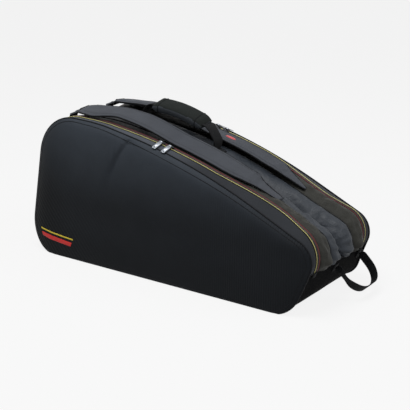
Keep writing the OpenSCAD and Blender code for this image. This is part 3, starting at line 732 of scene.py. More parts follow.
for label, side in SIDES:
    flip = side > 0
    seam = rail(-SEAM_HALF, 0, SEAM_DROP, 0)
    tape_out = rail(-TAPE_OUT)
    outer = strip(seam, tape_out, 9, 1.0, 0.8, 1.0)
    gusset = sheet(f"{label}_outer_cloth", mirrored(outer, side), OUTER, 1.6, flip)
    add(gusset, f"{label}_cover", "outer_gusset_cloth", f"{label}_outer_gusset")

    tape = strip(tape_out, rail(-(ZIP_HALF + ZIP_SLIT + 2.6), -0.2, -0.2), 4, 0.0)
    piece = sheet(f"{label}_outer_zip_tape", mirrored(tape, side), TAPE, 0.9, flip)
    add(piece, f"{label}_cover", "yellow_tape", f"{label}_outer_tape")
    cord = mirrored(rail(-(ZIP_HALF + ZIP_SLIT + 4.2), -0.9, -0.9), side)
    add(tube(f"{label}_yellow_trim", cord, 0.75, YELLOW, sides=8), f"{label}_cover", "yellow_tape")

    red_in = rail(-TAPE_IN, -1.2, -1.2)
    red = strip(rail(-(ZIP_HALF - ZIP_SLIT - 1.0), -0.4, -0.4), red_in, 5, 0.7)
    piece = sheet(f"{label}_inner_zip_tape", mirrored(red, side), RED, 0.9, flip)
    add(piece, "bag_body", "red_tape", f"{label}_inner_tape")

    for part, y0, body in (("outer", ZIP_HALF + ZIP_SLIT + 0.95, f"{label}_cover"),
                           ("inner", ZIP_HALF - ZIP_SLIT - 0.95, "bag_body")):
        line = rail(-y0, -0.9, -0.9)
        dense = at_runs(line, TOP_RUN, np.linspace(0, TOP_RUN[-1], COIL_BEATS))
        beat = 1 + 0.22 * np.where(np.arange(COIL_BEATS) % 2 == 0, 1.0, -1.0)
        tooth = circle(0.95, 6, 0.85)
        coil = sweep(f"{label}_{part}_coil_run", mirrored(dense, side), (0.0, 1.0, 0.0), tooth, COIL,
                     scale=columns(np.ones(COIL_BEATS), beat))
        add(coil, body, "zip_coil", f"{label}_{part}_coil")

    tail_swell = 3.0 + 6.0 * run_share(140, 300)
    fold = rail(-BELLOW_HALF, 2, FOLD_DROP)
    inner = strip(rail(-TAPE_IN, -0.2, -0.2), fold, 19, tail_swell, 1.6, 4.0, (0.0, 1.6), 4.2)
    piece = sheet(f"{label}_inner_cloth", mirrored(inner, side), INNER, 1.4, flip)
    add(piece, "bag_body", "inner_gusset_cloth", f"{label}_inner_gusset")

    rows = strip(fold, VALLEY, 27, 9.0 + 7.0 * run_share(140, 300), 2.2, 7.0, (1.6, 0.6), 4.6)
    piece = sheet(f"{label}_bellow_cloth", mirrored(rows, side), BELLOW, 1.4, flip)
    add(piece, "bag_body", "bellow_cloth", f"{label}_bellow")
    seam_line = mirrored(rail(-BELLOW_HALF, 1.4, FOLD_DROP - 0.8), side)
    add(tube(f"{label}_bellow_binding", seam_line, 1.7, BINDING, sides=8), "bag_body", "black_webbing")

valley_line = sunk(rail(0, VALLEY_DEPTH / 2 - 0.6, VALLEY_DEPTH - 0.6), VALLEY_SINK)
add(tube("valley_binding", valley_line, 2.0, BINDING), "bag_body", "black_webbing")


# ---- boots, floor, divider

def boot(name, path, node_name, full=4.0):
    cols = np.linspace(-1, 1, 41)
    out = outward(path)
    rails = []
    for u in cols:
        half = end_half(path[:, 1])
        swell = full * (1 - u ** 2) * np.clip((path[:, 1] - 8) / 40, 0, 1) - 0.6
        p = np.stack([path[:, 0] + out[:, 0] * swell, u * half, np.maximum(path[:, 1] + out[:, 1] * swell, 0.2)],
                     axis=1)
        for q in p:
            lift = ripple(q, 60, 1.2, 5.0)
            q[0] += np.sign(q[0]) * lift
        rails.append(p)
    add(sheet(name, np.array(rails), BASE, 2.0, False), "bag_body", "base_cloth", node_name)
    rim = np.array([r[np.argmax(r[:, 2])] for r in rails]) + [copysign(0.6, rails[0][0, 0]), 0, -1.2]
    add(tube(f"{name}_binding", rim, 1.9, BINDING), "bag_body", "black_webbing")


boot("head_boot_cloth", head_foot(), "head_end_boot")
boot("handle_boot_cloth", tail_foot(), "handle_end_boot", 1.2)


def place(origin, turn):
    """Matrix that puts points modelled near zero at origin, turned about +Y by turn degrees."""
    c, s_ = turned(turn)
    return np.array([[c, 0, s_, origin[0]], [0, 1, 0, origin[1]], [-s_, 0, c, origin[2]], [0, 0, 0, 1]], float)


def moved(points, matrix):
    p = np.asarray(points, float)
    return p @ matrix[:3, :3].T + matrix[:3, 3]


def flat_mirror(obj, side):
    """Turns a piece modelled for the near side into the one of the far side."""
    if side > 0:
        for v in obj.data.vertices:
            v.co.y = -v.co.y
        obj.data.flip_normals()
    return obj


def rounded_box(name, lo, hi, r, material, matrix=None, segments=3):
    """A block with rounded edges between two corners, in millimetres."""
    bm = bmesh.new()
    bmesh.ops.create_cube(bm, size=1.0)
    lo, hi = np.array(lo, float), np.array(hi, float)
    for v in bm.verts:
        v.co = Vector((lo + hi) / 2 + (hi - lo) * np.array(v.co))
    bmesh.ops.bevel(bm, geom=list(bm.edges), offset=r, segments=segments, profile=0.5, affect="EDGES")
    pts = np.array([v.co for v in bm.verts])
    if matrix is not None:
        pts = moved(pts, matrix)
    for v, q in zip(bm.verts, pts):
        v.co = Vector(q * MM)
    bmesh.ops.recalc_face_normals(bm, faces=bm.faces)
    mesh = bpy.data.meshes.new(name)
    bm.to_mesh(mesh)
    bm.free()
    return shown(name, mesh, material)


def joined(name, objs):
    """Joins several meshes of one piece into one."""
    with bpy.context.temp_override(active_object=objs[0], selected_editable_objects=objs, object=objs[0],
                                   selected_objects=objs):
        bpy.ops.object.join()
    objs[0].name = name
    return objs[0]


STITCH_PITCH, STITCH_L, STITCH_R = 3.8, 2.6, 0.32


def resample(path, step):
    p = np.asarray(path, float)
    run = run_of(p)
    return at_runs(p, run, np.linspace(0, run[-1], max(2, int(run[-1] / step) + 1)))


def stitches(name, path):
    """A row of sewn stitches along a path of points."""
    fine = resample(path, STITCH_PITCH)
    verts, faces = [], []
    for p, d in zip(fine[:-1], path_frames(fine)[:-1]):
        a = unit(np.cross(d, (0.31, 0.52, 0.79)))
        b = np.cross(d, a)
        base = len(verts)
        for end, r in ((0.0, 0.45), (0.15, 1.0), (0.85, 1.0), (1.0, 0.45)):
            verts += [p + d * STITCH_L * end + a * x + b * y for x, y in circle(STITCH_R * r, 5)]
        faces += [tuple(base + k for k in reversed(f)) for f in grid_faces(4, 5, False, True)]
        faces += [tuple(base + k for k in reversed(range(5))), tuple(base + 15 + k for k in range(5))]
    return mesh_object(name, verts, faces, THREAD)


FLOOR_X = (head_foot()[-1][0], tail_foot()[0][0])
FLOOR_Y = SEAM_HALF + FOOT_FLARE
FLOOR_T, BOARD_TOP, BOARD_INSET = 4.0, 6.5, 12.0


def pad_sheet(name, x0, x1, y0, y1, z0, z1, material, corner):
    """A flat pad with rounded corners and edges."""
    def ring(inset, z):
        pts = []
        for cx, cy, start in ((x1, y1, 0), (x0, y1, 90), (x0, y0, 180), (x1, y0, 270)):
            mx = cx - copysign(corner, cx - (x0 + x1) / 2)
            my = cy - copysign(corner, cy - (y0 + y1) / 2)
            for k in range(7):
                c, s_ = turned(start + 15 * k)
                pts.append((mx + (corner - inset) * c, my + (corner - inset) * s_, z))
        return np.array(pts)
    half = (z1 - z0) / 2
    middle = np.array([(x0 + x1) / 2, (y0 + y1) / 2, 0])
    rows = []
    for share in (0.02, 0.3, 0.6, 0.85, 0.95):
        rows.append(middle + (ring(half, z0) - middle) * [share, share, 1])
    for ang in range(-90, 91, 30):
        c, s_ = turned(ang)
        rows.append(ring(half * (1 - c), (z0 + z1) / 2 + half * s_))
    for share in (0.95, 0.85, 0.6, 0.3, 0.02):
        rows.append(middle + (ring(half, z1) - middle) * [share, share, 1])
    return tube_of_rings(name, rows, material, 0.00001, caps=True)


floor = pad_sheet("floor_cloth", FLOOR_X[0], FLOOR_X[1], -FLOOR_Y, FLOOR_Y, 0.0, FLOOR_T, BASE, 6.0)
add(floor, "bag_body", "base_cloth", "base_floor")
board = pad_sheet("floor_stiffener", FLOOR_X[0] + BOARD_INSET, FLOOR_X[1] - BOARD_INSET, BOARD_INSET - FLOOR_Y,
                  FLOOR_Y - BOARD_INSET, FLOOR_T, BOARD_TOP, BOARD, 14.0)
add(board, "bag_body", "board", "floor_board")


def divider():
    """The padded wall between the compartments."""
    down = VALLEY_DEPTH + 6.0
    top = sunk(rail(0, down - VALLEY_DEPTH / 2, down), DIVIDER_SINK)[:, ::2]
    head, tail = (FLOOR_X[0] + BOARD_INSET, BOARD_TOP), (FLOOR_X[1] - BOARD_INSET, BOARD_TOP)
    ring = np.concatenate([top, [head], straight(head, tail, 60), [tail]])
    middle = np.array([0.0, 150.0])
    rows = []
    steps = [(0.0, 3.0), (0.3, 3.1), (0.6, 3.0), (0.85, 2.8), (0.95, 2.4), (0.98, 1.9), (0.995, 1.0), (1.0, 0.0)]
    for s, half in steps + [(s, -half) for s, half in steps[-2::-1]]:
        q = middle + (ring - middle) * s
        rows.append(columns(q[:, 0], np.full(len(q), half), q[:, 1]))
    obj = tube_of_rings("divider_pad", rows, FOAM)
    add(obj, "bag_body", "divider_foam", "centre_divider")


divider()


# ---- zip hardware

COIL_H = 1.8
PLATE_Z = COIL_H + 0.4
SLIDER_L, SLIDER_W, SLIDER_T = 13.0, 11.0, 1.8
RING_R, BRIDGE_R = 2.1, 0.9
BRIDGE_Y = 0.3 - SLIDER_W / 2
BRIDGE_Z = PLATE_Z + SLIDER_T + RING_R + 0.3
SLIDERS = (("head", -11.0), ("handle", 13.0))
PULL_SLOPE = 20.0
PULL_L, PULL_W, PULL_T = 27.5, 10.0, 1.4

corner_a, corner_b, corner_c = map(np.array, ((TAIL_REACH + TAIL_LEAN * TAIL_H, TAIL_H), MIDDLE, SHOULDER))
u1, u2 = unit(corner_a - corner_b), unit(corner_c - corner_b)
CURVE_AXIS = corner_b + unit(u1 + u2) * TOP_R / sin(acos(float(u1 @ u2)) / 2)


def on_curve(x):
    """Matrix that puts a piece modelled on the zip at x = 0 onto the top curve."""
    turn = asin((x - CURVE_AXIS[0]) / TOP_R)
    return place((CURVE_AXIS[0] + TOP_R * sin(turn), -ZIP_HALF, CURVE_AXIS[1] + TOP_R * cos(turn)),
                 degrees(turn))


def outline_plate(name, outline, z0, z1, edge, material, matrix, hole=None):
    """A thin plate with rounded rims, and a round hole where one is given as (x, y, radius)."""
    out = np.array(outline, float)
    centre = np.array(hole[:2], float) if hole else out.mean(axis=0)
    def level(inset, z):
        d = out - centre
        r = np.linalg.norm(d, axis=1)[:, None]
        return np.concatenate([centre + d * (1 - inset / r), np.full((len(out), 1), z)], axis=1)
    rows = [level(edge, z1), level(edge * 0.3, z1 - edge * 0.3), level(0, z1 - edge), level(0, z0 + edge),
            level(edge * 0.3, z0 + edge * 0.3), level(edge, z0)]
    if hole:
        d = out - centre
        ang = np.arctan2(d[:, 1], d[:, 0])
        def bore(z, r):
            return columns(centre[0] + r * np.cos(ang), centre[1] + r * np.sin(ang), 0 * ang + z)
        wide = hole[2] + 0.2
        rows = [bore(z1, wide), *rows, bore(z0, wide), bore(z0 + 0.25, hole[2]), bore(z1 - 0.25, hole[2])]
    return tube_of_rings(name, [moved(r, matrix) for r in rows], material, 0.000005, not hole, bool(hole))


def rounded_outline(points, r, steps=5):
    out = []
    n = len(points)
    for k in range(n):
        a, v, b = (np.array(points[(k + j) % n], float) for j in (-1, 0, 1))
        out += round_corner(a, v, b, r[k] if hasattr(r, "__len__") else r, steps)
    return out


def slider(label, end, side, x):
    m = on_curve(x)
    towards = 1.0 if end == "head" else -1.0
    half_l, half_w = SLIDER_L / 2, SLIDER_W / 2
    shape = [(towards * half_l, -half_w), (towards * half_l, half_w), (-towards * half_l, half_w * 0.72),
             (-towards * half_l, -half_w * 0.72)]
    parts = [outline_plate("top", rounded_outline(shape, 1.8), PLATE_Z, PLATE_Z + SLIDER_T, 0.5, SLIDER, m),
             outline_plate("low", rounded_outline([(half_l, -half_w + 0.4), (half_l, -0.4), (-half_l, -0.4),
                                                   (-half_l, -half_w + 0.4)], 1.2), -3.4, -1.6, 0.4, SLIDER, m),
             rounded_box("post", (-half_l + 2, -0.4, -3.0), (half_l - 2, 0.4, PLATE_Z + 0.6), 0.15, SLIDER, m)]
    bar = PULL_W / 2 + 1.0
    foot = BRIDGE_Y + 1.0
    arch = [(-bar - 0.6, foot + 2.6, PLATE_Z + SLIDER_T - 0.2), (-bar - 0.5, foot + 1.2, PLATE_Z + SLIDER_T + 0.9),
            (-bar - 0.2, BRIDGE_Y + 0.2, BRIDGE_Z - 0.7), (-bar + 0.4, BRIDGE_Y, BRIDGE_Z), (0, BRIDGE_Y, BRIDGE_Z),
            (bar - 0.4, BRIDGE_Y, BRIDGE_Z), (bar + 0.2, BRIDGE_Y + 0.2, BRIDGE_Z - 0.7),
            (bar + 0.5, foot + 1.2, PLATE_Z + SLIDER_T + 0.9), (bar + 0.6, foot + 2.6, PLATE_Z + SLIDER_T - 0.2)]
    parts.append(tube("arch", moved(catmull(arch, 5), m), BRIDGE_R, SLIDER, sides=10))
    obj = flat_mirror(joined(f"{label}_{end}_slider_body", parts), side)
    add(obj, f"{label}_{end}_slider", "zip_metal", f"{label}_{end}_slider")

    c, s_ = turned(PULL_SLOPE)
    tilt = np.array([[1, 0, 0, 0], [0, c, -s_, BRIDGE_Y], [0, s_, c, BRIDGE_Z], [0, 0, 0, 1]], float)
    pm = m @ tilt
    far_y = 1 - PULL_L
    half = PULL_W / 2
    shape = [(half * 0.72, -1.2), (half, -6.0), (half, far_y), (-half, far_y), (-half, -6.0), (-half * 0.72, -1.2)]
    outline = rounded_outline(shape, [0.6, 3.0, 2.6, 2.6, 3.0, 0.6], 6)
    tab = outline_plate("tab", outline, -PULL_T / 2, PULL_T / 2, 0.4, PULL, pm, (0.0, far_y + 4.4, 1.7))
    eye_rows = []
    for r, w in ((BRIDGE_R + 0.1, -half * 0.72), (RING_R - 0.25, -half * 0.72), (RING_R, -half * 0.72 + 0.3),
                 (RING_R, half * 0.72 - 0.3), (RING_R - 0.25, half * 0.72), (BRIDGE_R + 0.1, half * 0.72)):
        eye_rows.append([(w, r * c, r * s_) for c, s_ in map(turned, range(0, 360, 20))])
    eye = tube_of_rings("eye", [moved(r, pm) for r in eye_rows], PULL, 0.000005, closed=True)
    rib = rounded_box("rib", (-1.3, -12.5, PULL_T / 2 - 0.2), (1.3, -4.0, PULL_T / 2 + 0.35), 0.25, PULL, pm)
    obj = flat_mirror(joined(f"{label}_{end}_pull_tab", [tab, eye, rib]), side)
    add(obj, f"{label}_{end}_pull", "pull_metal", f"{label}_{end}_pull")


for label, side in SIDES:
    for end, x in SLIDERS:
        slider(label, end, side, x)


def zip_stops(label, side):
    tabs = []
    for wall, sign in ((lambda z: -HEAD_REACH + HEAD_LEAN * z, -1.0), (lambda z: TAIL_REACH + TAIL_LEAN * z, 1.0)):
        rows = []
        for z in np.linspace(80.5, 91.5, 8):
            rows.append([(wall(z) + sign * (1.2 + 0.8 * cos(1.45 * u)), side * (ZIP_HALF + 6.8 * u), z)
                         for u in np.linspace(-1, 1, 9)])
        tabs.append(sheet("tab", np.array(rows), TAPE, 1.4, (sign > 0) != (side > 0)))
    add(joined(f"{label}_zip_end_tabs", tabs), "bag_body", "base_cloth", f"{label}_zip_stops")


for label, side in SIDES:
    zip_stops(label, side)


# ---- shoulder straps

STRAP_X0, STRAP_X1 = -264.0, 258.0
STRAP_W, STRAP_T, BAND_T, PAD_X = 56.0, 10.0, 4.0, 196.0
WEB_W, WEB_T = 25.0, 2.0
LOCK_SLOPE, LOCK_L = 21.0, 34.0
GAP = 0.3
STRAP_SEAT = FOLD_DROP * (TAPE_IN - (STRAP_Y + STRAP_W / 2)) / (TAPE_IN - BELLOW_HALF)


def strap_base(x):
    s = (x - STRAP_X0) / (STRAP_X1 - STRAP_X0)
    gap = GAP + 11 * sin(pi * min(s / 0.53, 1)) ** 1.3 + 4 * sin(pi * max((s - 0.8) / 0.2, 0)) ** 2
    return top_z(x) + gap + 8 * (1 - min(s / 0.3, 1)) ** 2 - STRAP_SEAT


def strap_thick(x):
    return STRAP_T - (STRAP_T - BAND_T) * min(1, max(0, (x - PAD_X + 10) / 20))


def strap_width(x, side=-1.0):
    lead = min(1.0, (x - STRAP_X0) / 20)
    trail = min(1.0, max(0.0, (x - PAD_X + 4) / 14))
    taper = min(1.0, max(0.0, (x - PAD_X - 10) / (STRAP_X1 - PAD_X - 10)))
    return STRAP_W * (0.86 + 0.14 * sin(lead * pi / 2)) - 14.0 * trail - (30.0 if side > 0 else 18.0) * taper


def tilted(obj, side):
    """Raises a strap's inner edge over its outer one, as it stands on the crest of the soft top."""
    for v in obj.data.vertices:
        x, y = v.co.x / MM, v.co.y / MM * side
        t = min(1.0, max(0.0, (STRAP_Y + STRAP_W / 2 - y) / STRAP_W))
        along = np.interp(x, (STRAP_X0, -200, -90, 120, PAD_X, PAD_X + 20), (2.0, 6.0, 12.0, 11.0, 5.0, 0.0))
        v.co.z += (0.45 if side > 0 else 1.0) * along * t * t * MM
        head = min(1.0, max(0.0, (-150 - x) / 60)) * (1 - t) ** 2
        over = exp(-((x + 205) / 35) ** 2) * (1 - t) ** 2
        v.co.z -= (4.5 * head + 1.5 * over) * MM
        v.co.y += side * (7.0 * head + 9.0 * over) * MM
        if side > 0:
            v.co.z += 4.0 * exp(-((x - 130) / 90) ** 2) * (1 - t) ** 2 * MM
    return swayed(obj)


def on_strap(obj, side, body, slot, *nodes):
    """Adds a piece modelled along the near strap, for the given side and leaning with the strap."""
    return add(tilted(flat_mirror(obj, side), side), body, slot, *nodes)


def strap(label, side):
    xs = np.concatenate([np.linspace(STRAP_X0, STRAP_X0 + 34, 16)[:-1], np.linspace(STRAP_X0 + 34, STRAP_X1, 110)])
    path, sections = [], []
    for x in xs:
        t = strap_thick(x)
        path.append((x, -STRAP_Y, strap_base(x) + t / 2))
        pucker = exp(-((x - PAD_X - 2) / 16) ** 2)
        sec = np.array(pad_section(strap_width(x, side), t / 2, t / 2, 0.9 if t > 6 else 0.35))
        up = sec[:, 1] > 0
        for k in np.nonzero(up)[0]:
            q = (x, sec[k, 0], 0)
            gather = 0.9 * sin(x * 0.95 + 0.12 * sec[k, 0]) + ripple(q, 7, 1.2, 4.0)
            sec[k, 1] += ripple(q, 26, 0.7, 2.0) + pucker * gather
        sections.append(sec)
    obj = sweep(f"{label}_strap_pad", path, (0, -1.0, 0), np.array(sections), STRAP)
    on_strap(obj, side, "bag_body", "strap_cloth", f"{label}_shoulder_strap")
    for name, rim in (("outer", -1.0), ("inner", 1.0)):
        edge = [(x, -STRAP_Y + rim * (strap_width(x, side) / 2 - 0.4), strap_base(x) + strap_thick(x) / 2)
                for x in xs]
        cord = tube(f"{label}_strap_{name}_binding", edge, 1.5, BINDING, sides=8, flat=1.3)
        on_strap(cord, side, "bag_body", "strap_cloth")
        seam = [(x, -STRAP_Y + rim * strap_width(x, side) * 0.37, strap_base(x) + strap_thick(x) - 0.9)
                for x in xs[6:-2]]
        on_strap(stitches(f"{label}_strap_{name}_stitches", seam), side, "bag_body", "strap_cloth")


def lock_parts(label, side):
    end = np.array([STRAP_X0, strap_base(STRAP_X0) + STRAP_T / 2])
    pin = end - [1.8 + WEB_T + GAP, 0]
    r = 3.1 + WEB_T / 2
    loop = [(end[0] + 6, 1.1), (end[0] - 0.5, 1.3)]
    loop += [(pin[0] + r * c, r * s_) for c, s_ in map(turned, range(70, 291, 20))]
    loop += [(end[0] - 0.5, -1.3), (end[0] + 6, -1.1)]
    path = [(x, -STRAP_Y, pin[1] + z) for x, z in loop]
    obj = sweep(f"{label}_strap_end_loop", path, (0, -1, 0), webbing_section(WEB_W, WEB_T - 0.1), WEB)
    on_strap(obj, side, "bag_body", "black_webbing", f"{label}_strap_loop")

    m = place((pin[0], -STRAP_Y, pin[1]), -LOCK_SLOPE)
    rail_y, rail_w = WEB_W / 2 + GAP, 4.0
    parts = []
    for s in (-1, 1):
        parts.append(rounded_box("rail", (-LOCK_L, s * (rail_y + rail_w / 2) - rail_w / 2, -2.2),
                                 (1.8, s * (rail_y + rail_w / 2) + rail_w / 2, 2.2), 1.3, LOCK, m, 4))
    bar = [(0, y, 0) for y in np.linspace(-rail_y - 0.5, rail_y + 0.5, 5)]
    parts.append(sweep("bar", moved(bar, m), (1, 0, 0.02), circle(1.8, 14), LOCK))
    for x in (-LOCK_L + 2, -LOCK_L * 0.52):
        parts.append(rounded_box("rung", (x, -rail_y - 0.5, -1.4), (x + 3.6, rail_y + 0.5, 1.4), 0.8, LOCK, m, 3))
    on_strap(joined(f"{label}_lock_frame", parts), side, f"{label}_lock", "lock_metal", f"{label}_ladder_lock")
    thread_path = catmull([(-LOCK_L + 1, 0, -2.6), (-LOCK_L + 7, 0, -1.4), (-LOCK_L * 0.52 - 2, 0, 2.0),
                           (-LOCK_L * 0.52 + 2, 0, 2.8), (-LOCK_L * 0.52 + 5, 0, 1.2), (-9, 0, -2.6)], 5)
    obj = sweep(f"{label}_lock_webbing", moved(thread_path, m), (0, 1, 0), webbing_section(WEB_W - 1, 1.6), WEB)
    on_strap(obj, side, f"{label}_lock", "black_webbing")

    seat = (TAPE_IN - STRAP_Y - WEB_W / 2) / (TAPE_IN - BELLOW_HALF)
    drop = FOLD_DROP * seat - GAP
    head = top_path(2 * seat - GAP, drop, drop)
    lock_end = pin - (LOCK_L + 0.6) * np.array(turned(LOCK_SLOPE))
    arc = [p for p in head if p[0] < lock_end[0] - 3 and p[1] > 292]
    path = catmull([(lock_end[0] + 2.5, lock_end[1] + 0.4), (lock_end[0] - 1.5, lock_end[1] - 0.6)]
                   + [(p[0], p[1] + 1.1 + 4.5 * sin(pi * k / 12)) for k, p in enumerate(arc[2::4])], 4)
    path = [(p[0], -STRAP_Y, p[1]) for p in path]
    obj = sweep(f"{label}_anchor_strap", path, (0, 1, 0), webbing_section(WEB_W, WEB_T), WEB)
    on_strap(obj, side, "bag_body", "black_webbing", f"{label}_anchor_webbing")


for label, side in SIDES:
    strap(label, side)
    lock_parts(label, side)


def strap_patch():
    """Oval rubber patch that lies on the far strap."""
    rows = []
    for r in (0.0, 0.4, 0.75, 0.93, 1.0):
        ring = []
        for k in range(32):
            a = 2 * pi * k / 32
            x, y = 57 + 13 * r * cos(a), STRAP_Y + 6 * r * sin(a)
            u = abs(y - STRAP_Y) / (STRAP_W / 2)
            z = strap_base(x) + STRAP_T / 2 + STRAP_T / 2 * (1 - u ** 3.2) ** 0.55
            ring.append((x, y, z + (0.9 if r < 0.95 else 0.1) + 0.25 * (1 - r * r)))
        rows.append(ring)
    add(tilted(tube_of_rings("oval_patch", rows, PATCH), 1.0), "bag_body", "patch", "strap_patch")


strap_patch()


# ---- carry handle

HANDLE_X = (-136.0, 64.0)
HANDLE_W, HANDLE_T = 32.0, 3.0
SEAT_DROP = 5.7
HANDLE_H, HANDLE_LEAN = 44.0, 19.0
GRIP_HALF, GRIP_CROWN, GRIP_ROLL = (21.5, 12.0), 7.0, radians(17)


def over_bag(x, h):
    return np.array([x, top_z(x) + h])


def handle():
    pivot = 3 + 3 * GAP + HANDLE_W / 2 - SEAT_DROP
    head, tail = over_bag(HANDLE_X[0], pivot), over_bag(HANDLE_X[1], pivot)
    top_head = over_bag(HANDLE_X[0] + HANDLE_LEAN, HANDLE_H)
    top_tail = over_bag(HANDLE_X[1] - HANDLE_LEAN, HANDLE_H)
    rise_head, rise_tail = head + [0, 6], tail + [0, 6]
    drops = (15.6, 14.6, 12.5, 9.0, 5.0, 0.0)
    spine = [tail - [0, d] for d in drops] + [rise_tail] + round_corner(rise_tail, top_tail, top_head, 30, 10)
    spine += straight(spine[-1], round_corner(top_tail, top_head, rise_head, 22, 10)[0], 20)
    spine += round_corner(top_tail, top_head, rise_head, 22, 10) + [rise_head]
    spine += [head - [0, d] for d in drops[::-1]]
    path = np.array([(p[0], 0, p[1]) for p in spine])
    ends = [sqrt(1 - (d / 16) ** 2) for d in drops]
    widths = ends + [1.0] * (len(spine) - 2 * len(drops)) + ends[::-1]
    obj = sweep("handle_strap", path, (0, 1, 0), webbing_section(HANDLE_W, HANDLE_T, 0.9), WEB,
                scale=columns(widths, np.ones(len(widths))))
    add(obj, "carry_handle", "black_webbing", "handle_webbing")

    run = unit(top_head - top_tail)
    up = np.array([run[1], -run[0]])
    a, b = top_tail + run * 12, top_head - run * 12
    path, sections = [], []
    length = np.linalg.norm(b - a)
    for k in range(61):
        s = k / 60
        p = a + (b - a) * s + up * (GRIP_CROWN * sin(pi * s) - 1.0)
        path.append((p[0], 0, p[1]))
        ease = min(1, min(s, 1 - s) * length / 15)
        grow = 0.30 + 0.70 * sin(ease * pi / 2)
        sec = []
        for j in range(40):
            ang = 2 * pi * j / 40
            c, s_ = cos(ang), sin(ang)
            q = (GRIP_HALF[0] * copysign(abs(c) ** 0.62, c) * (0.82 + 0.18 * grow),
                 GRIP_HALF[1] * copysign(abs(s_) ** 0.7, s_) * grow)
            lift = ripple((p[0], q[0] * 2, p[1]), 18, 0.9, 6.0) * grow
            q = (q[0] + lift * c * 0.5, q[1] + lift * s_)
            c, s_ = cos(GRIP_ROLL), sin(GRIP_ROLL)
            sec.append((q[0] * c - q[1] * s_, q[0] * s_ + q[1] * c))
        sections.append(sec)
    grip = sweep("handle_grip_wrap", path, (0, 1, 0), np.array(sections), GRIP)
    grip.data.materials.append(GRIP_TOP)
    lean = Vector((up[0], -sin(GRIP_ROLL), up[1]))
    for face in grip.data.polygons:
        face.material_index = int(face.normal.dot(lean) > 0.62)
    add(grip, "carry_handle", "grip_wrap", "handle_grip")
    for name, k in (("head", 52), ("tail", 8)):
        ring = np.array(sections[k]) * 1.012
        p = np.array(path[k])
        loop = [(p[0] + up[0] * z, y, p[2] + up[1] * z) for y, z in ring]
        add(tube(f"grip_{name}_seam", loop, 0.9, BINDING, closed=True, sides=6), "carry_handle", "grip_wrap")


handle()


def handle_feet():
    feet = []
    for x in HANDLE_X:
        rows = []
        for u in np.linspace(-1, 1, 15):
            px = x + 13 * u
            rows.append([(px, y, top_z(px) + 3.1 - SEAT_DROP + 0.4 * cos(u * 1.5) - 0.5 * (abs(y) / 16) ** 4)
                         for y in np.linspace(-HANDLE_W / 2, HANDLE_W / 2, 13)])
        feet.append(sheet("foot", np.array(rows), WEB, 2.8, False))
    add(joined("handle_sewn_feet", feet), "bag_body", "black_webbing", "handle_anchors")
    for k, x in enumerate(HANDLE_X):
        box_path = [(x - 10, -12), (x + 10, -12), (x + 10, 12), (x - 10, 12), (x - 10, -12), (x + 10, 12)]
        line = [(px, y, top_z(px) + 3.3 - SEAT_DROP) for px, y in box_path]
        add(stitches(f"handle_foot_{k}_stitches", line), "bag_body", "black_webbing")


handle_feet()


# ---- end loop

LOOP_Y = (0.0, 107.0)
LOOP_Z = 70.0
LOOP_REACH, LOOP_DROOP, LOOP_W = 60.0, 45.0, 20.0
WALL_TURN = degrees(atan(TAIL_LEAN))


def end_loop():
    half = (LOOP_Y[1] - LOOP_Y[0]) / 2
    foot = 2.2 + GAP + LOOP_W / 2
    wall = place((TAIL_REACH + TAIL_LEAN * LOOP_Z, 0, LOOP_Z), WALL_TURN)
    m = wall @ place((foot, sum(LOOP_Y) / 2, 0), LOOP_DROOP - WALL_TURN)
    far, near = (LOOP_REACH, half + 1), (LOOP_REACH, -half - 1)
    drops = (9.4, 8.0, 6.0, 3.0, 0.0)
    flat = [np.array((-d, half + 1)) for d in drops] + straight((0, half + 1), (8, half + 1), 4)
    flat += round_corner((0, half + 1), far, near, half - 12, 20)
    flat += round_corner(far, near, (0, -half - 1), half - 12, 20)
    flat += straight((8, -half - 1), (0, -half - 1), 4) + [np.array((-d, -half - 1)) for d in drops[::-1]]
    path = moved([(p[0], p[1], 0) for p in flat], m)
    n = len(path)
    side_way = m[:3, 2]
    obj_across = []
    t = path_frames(path)
    for k in range(n):
        s = k / (n - 1)
        twist = radians(34) * exp(-((s - 0.84) / 0.09) ** 2)
        normal = np.cross(side_way, t[k])
        obj_across.append(side_way * cos(twist) + normal * sin(twist))
    ends = [sqrt(1 - (d / 10) ** 2) for d in drops]
    widths = ends + [1.0] * (n - 2 * len(drops)) + ends[::-1]
    obj = sweep("end_loop_strap", path, np.array(obj_across), webbing_section(LOOP_W, WEB_T), WEB,
                scale=columns(widths, np.ones(n)))
    add(obj, "end_loop_strap", "black_webbing", "end_loop")
    patches = []
    for y in LOOP_Y:
        patches.append(rounded_box("patch", (0.1, y - LOOP_W / 2, -8), (2.2, y + LOOP_W / 2, 8), 0.8, WEB, wall))
    add(joined("end_loop_patches", patches), "bag_body", "black_webbing", "end_loop_anchors")
    for k, y in enumerate(LOOP_Y):
        line = moved([(1.95, y - 7.5, -5.5), (1.95, y + 7.5, -5.5), (1.95, y + 7.5, 5.5), (1.95, y - 7.5, 5.5),
                      (1.95, y - 7.5, -5.5), (1.95, y + 7.5, 5.5)], wall)
        add(stitches(f"end_loop_{k}_stitches", line), "bag_body", "black_webbing")


end_loop()


# ---- stage, light and camera

def light_path_share(tree):
    """1 for rays that see the background itself or mirror it, 0 for rays that light the object."""
    path = node(tree, "LightPath")
    share = maths(tree, "MAXIMUM", path.outputs["Is Camera Ray"], path.outputs["Is Glossy Ray"])
    return maths(tree, "MAXIMUM", share, path.outputs["Is Transmission Ray"])


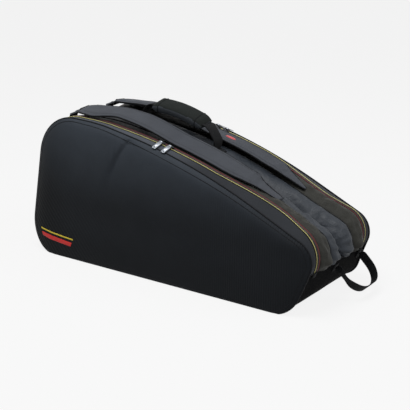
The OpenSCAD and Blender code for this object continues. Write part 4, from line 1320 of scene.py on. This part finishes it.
def stage():
    world = bpy.data.worlds.new("studio")
    bpy.context.scene.world = world
    world.use_nodes = True
    tree = world.node_tree
    back = tree.nodes["Background"]
    plug(tree, back, Color=(1, 1, 1, 1),
         Strength=maths(tree, "ADD", maths(tree, "MULTIPLY", light_path_share(tree), 0.74), 0.26))

    mat, tree, bsdf = nodes_of("studio_floor")
    plug(tree, bsdf, Base_Color=(0.62, 0.62, 0.62, 1), Roughness=0.9, Specular_IOR_Level=0.1)
    glow = node(tree, "Emission", Strength=1.0)
    mix = node(tree, "MixShader")
    tree.links.new(maths(tree, "MULTIPLY", light_path_share(tree), 0.86), mix.inputs[0])
    tree.links.new(bsdf.outputs[0], mix.inputs[1])
    tree.links.new(glow.outputs[0], mix.inputs[2])
    tree.links.new(mix.outputs[0], tree.nodes["Material Output"].inputs["Surface"])
    ground = mesh_object("studio_ground", [(-15000, -15000, -0.4), (15000, -15000, -0.4), (15000, 15000, -0.4),
                                           (-15000, 15000, -0.4)], [(0, 1, 2, 3)], mat)

    def area(name, at, target, size, power):
        data = bpy.data.lights.new(name, "AREA")
        data.shape = "RECTANGLE"
        data.size, data.size_y = size
        data.energy = power
        lamp = bpy.data.objects.new(name, data)
        bpy.context.scene.collection.objects.link(lamp)
        lamp.location = at
        lamp.rotation_euler = (Vector(target) - Vector(at)).to_track_quat("-Z", "Y").to_euler()

    area("key", (-0.1, -0.75, 2.7), (0, 0, 0.2), (1.6, 1.2), 46)
    area("fill", (2.0, 0.5, 2.0), (0, 0, 0.2), (1.4, 1.4), 14)


stage()

camera = bpy.data.objects.new("camera", bpy.data.cameras.new("camera"))
bpy.context.scene.collection.objects.link(camera)
camera.data.sensor_width = 36.0
camera.data.lens = 83.15
camera.data.clip_end = 50.0
camera.location = Vector((1219.85, -1669.64, 766.0)) * MM
AZIMUTH, ELEVATION = radians(35.5), radians(16.8)
view = Vector((-sin(AZIMUTH) * cos(ELEVATION), cos(AZIMUTH) * cos(ELEVATION), -sin(ELEVATION)))
camera.rotation_euler = view.to_track_quat("-Z", "Y").to_euler()
bpy.context.scene.camera = camera
bpy.context.scene.view_settings.view_transform = "Standard"
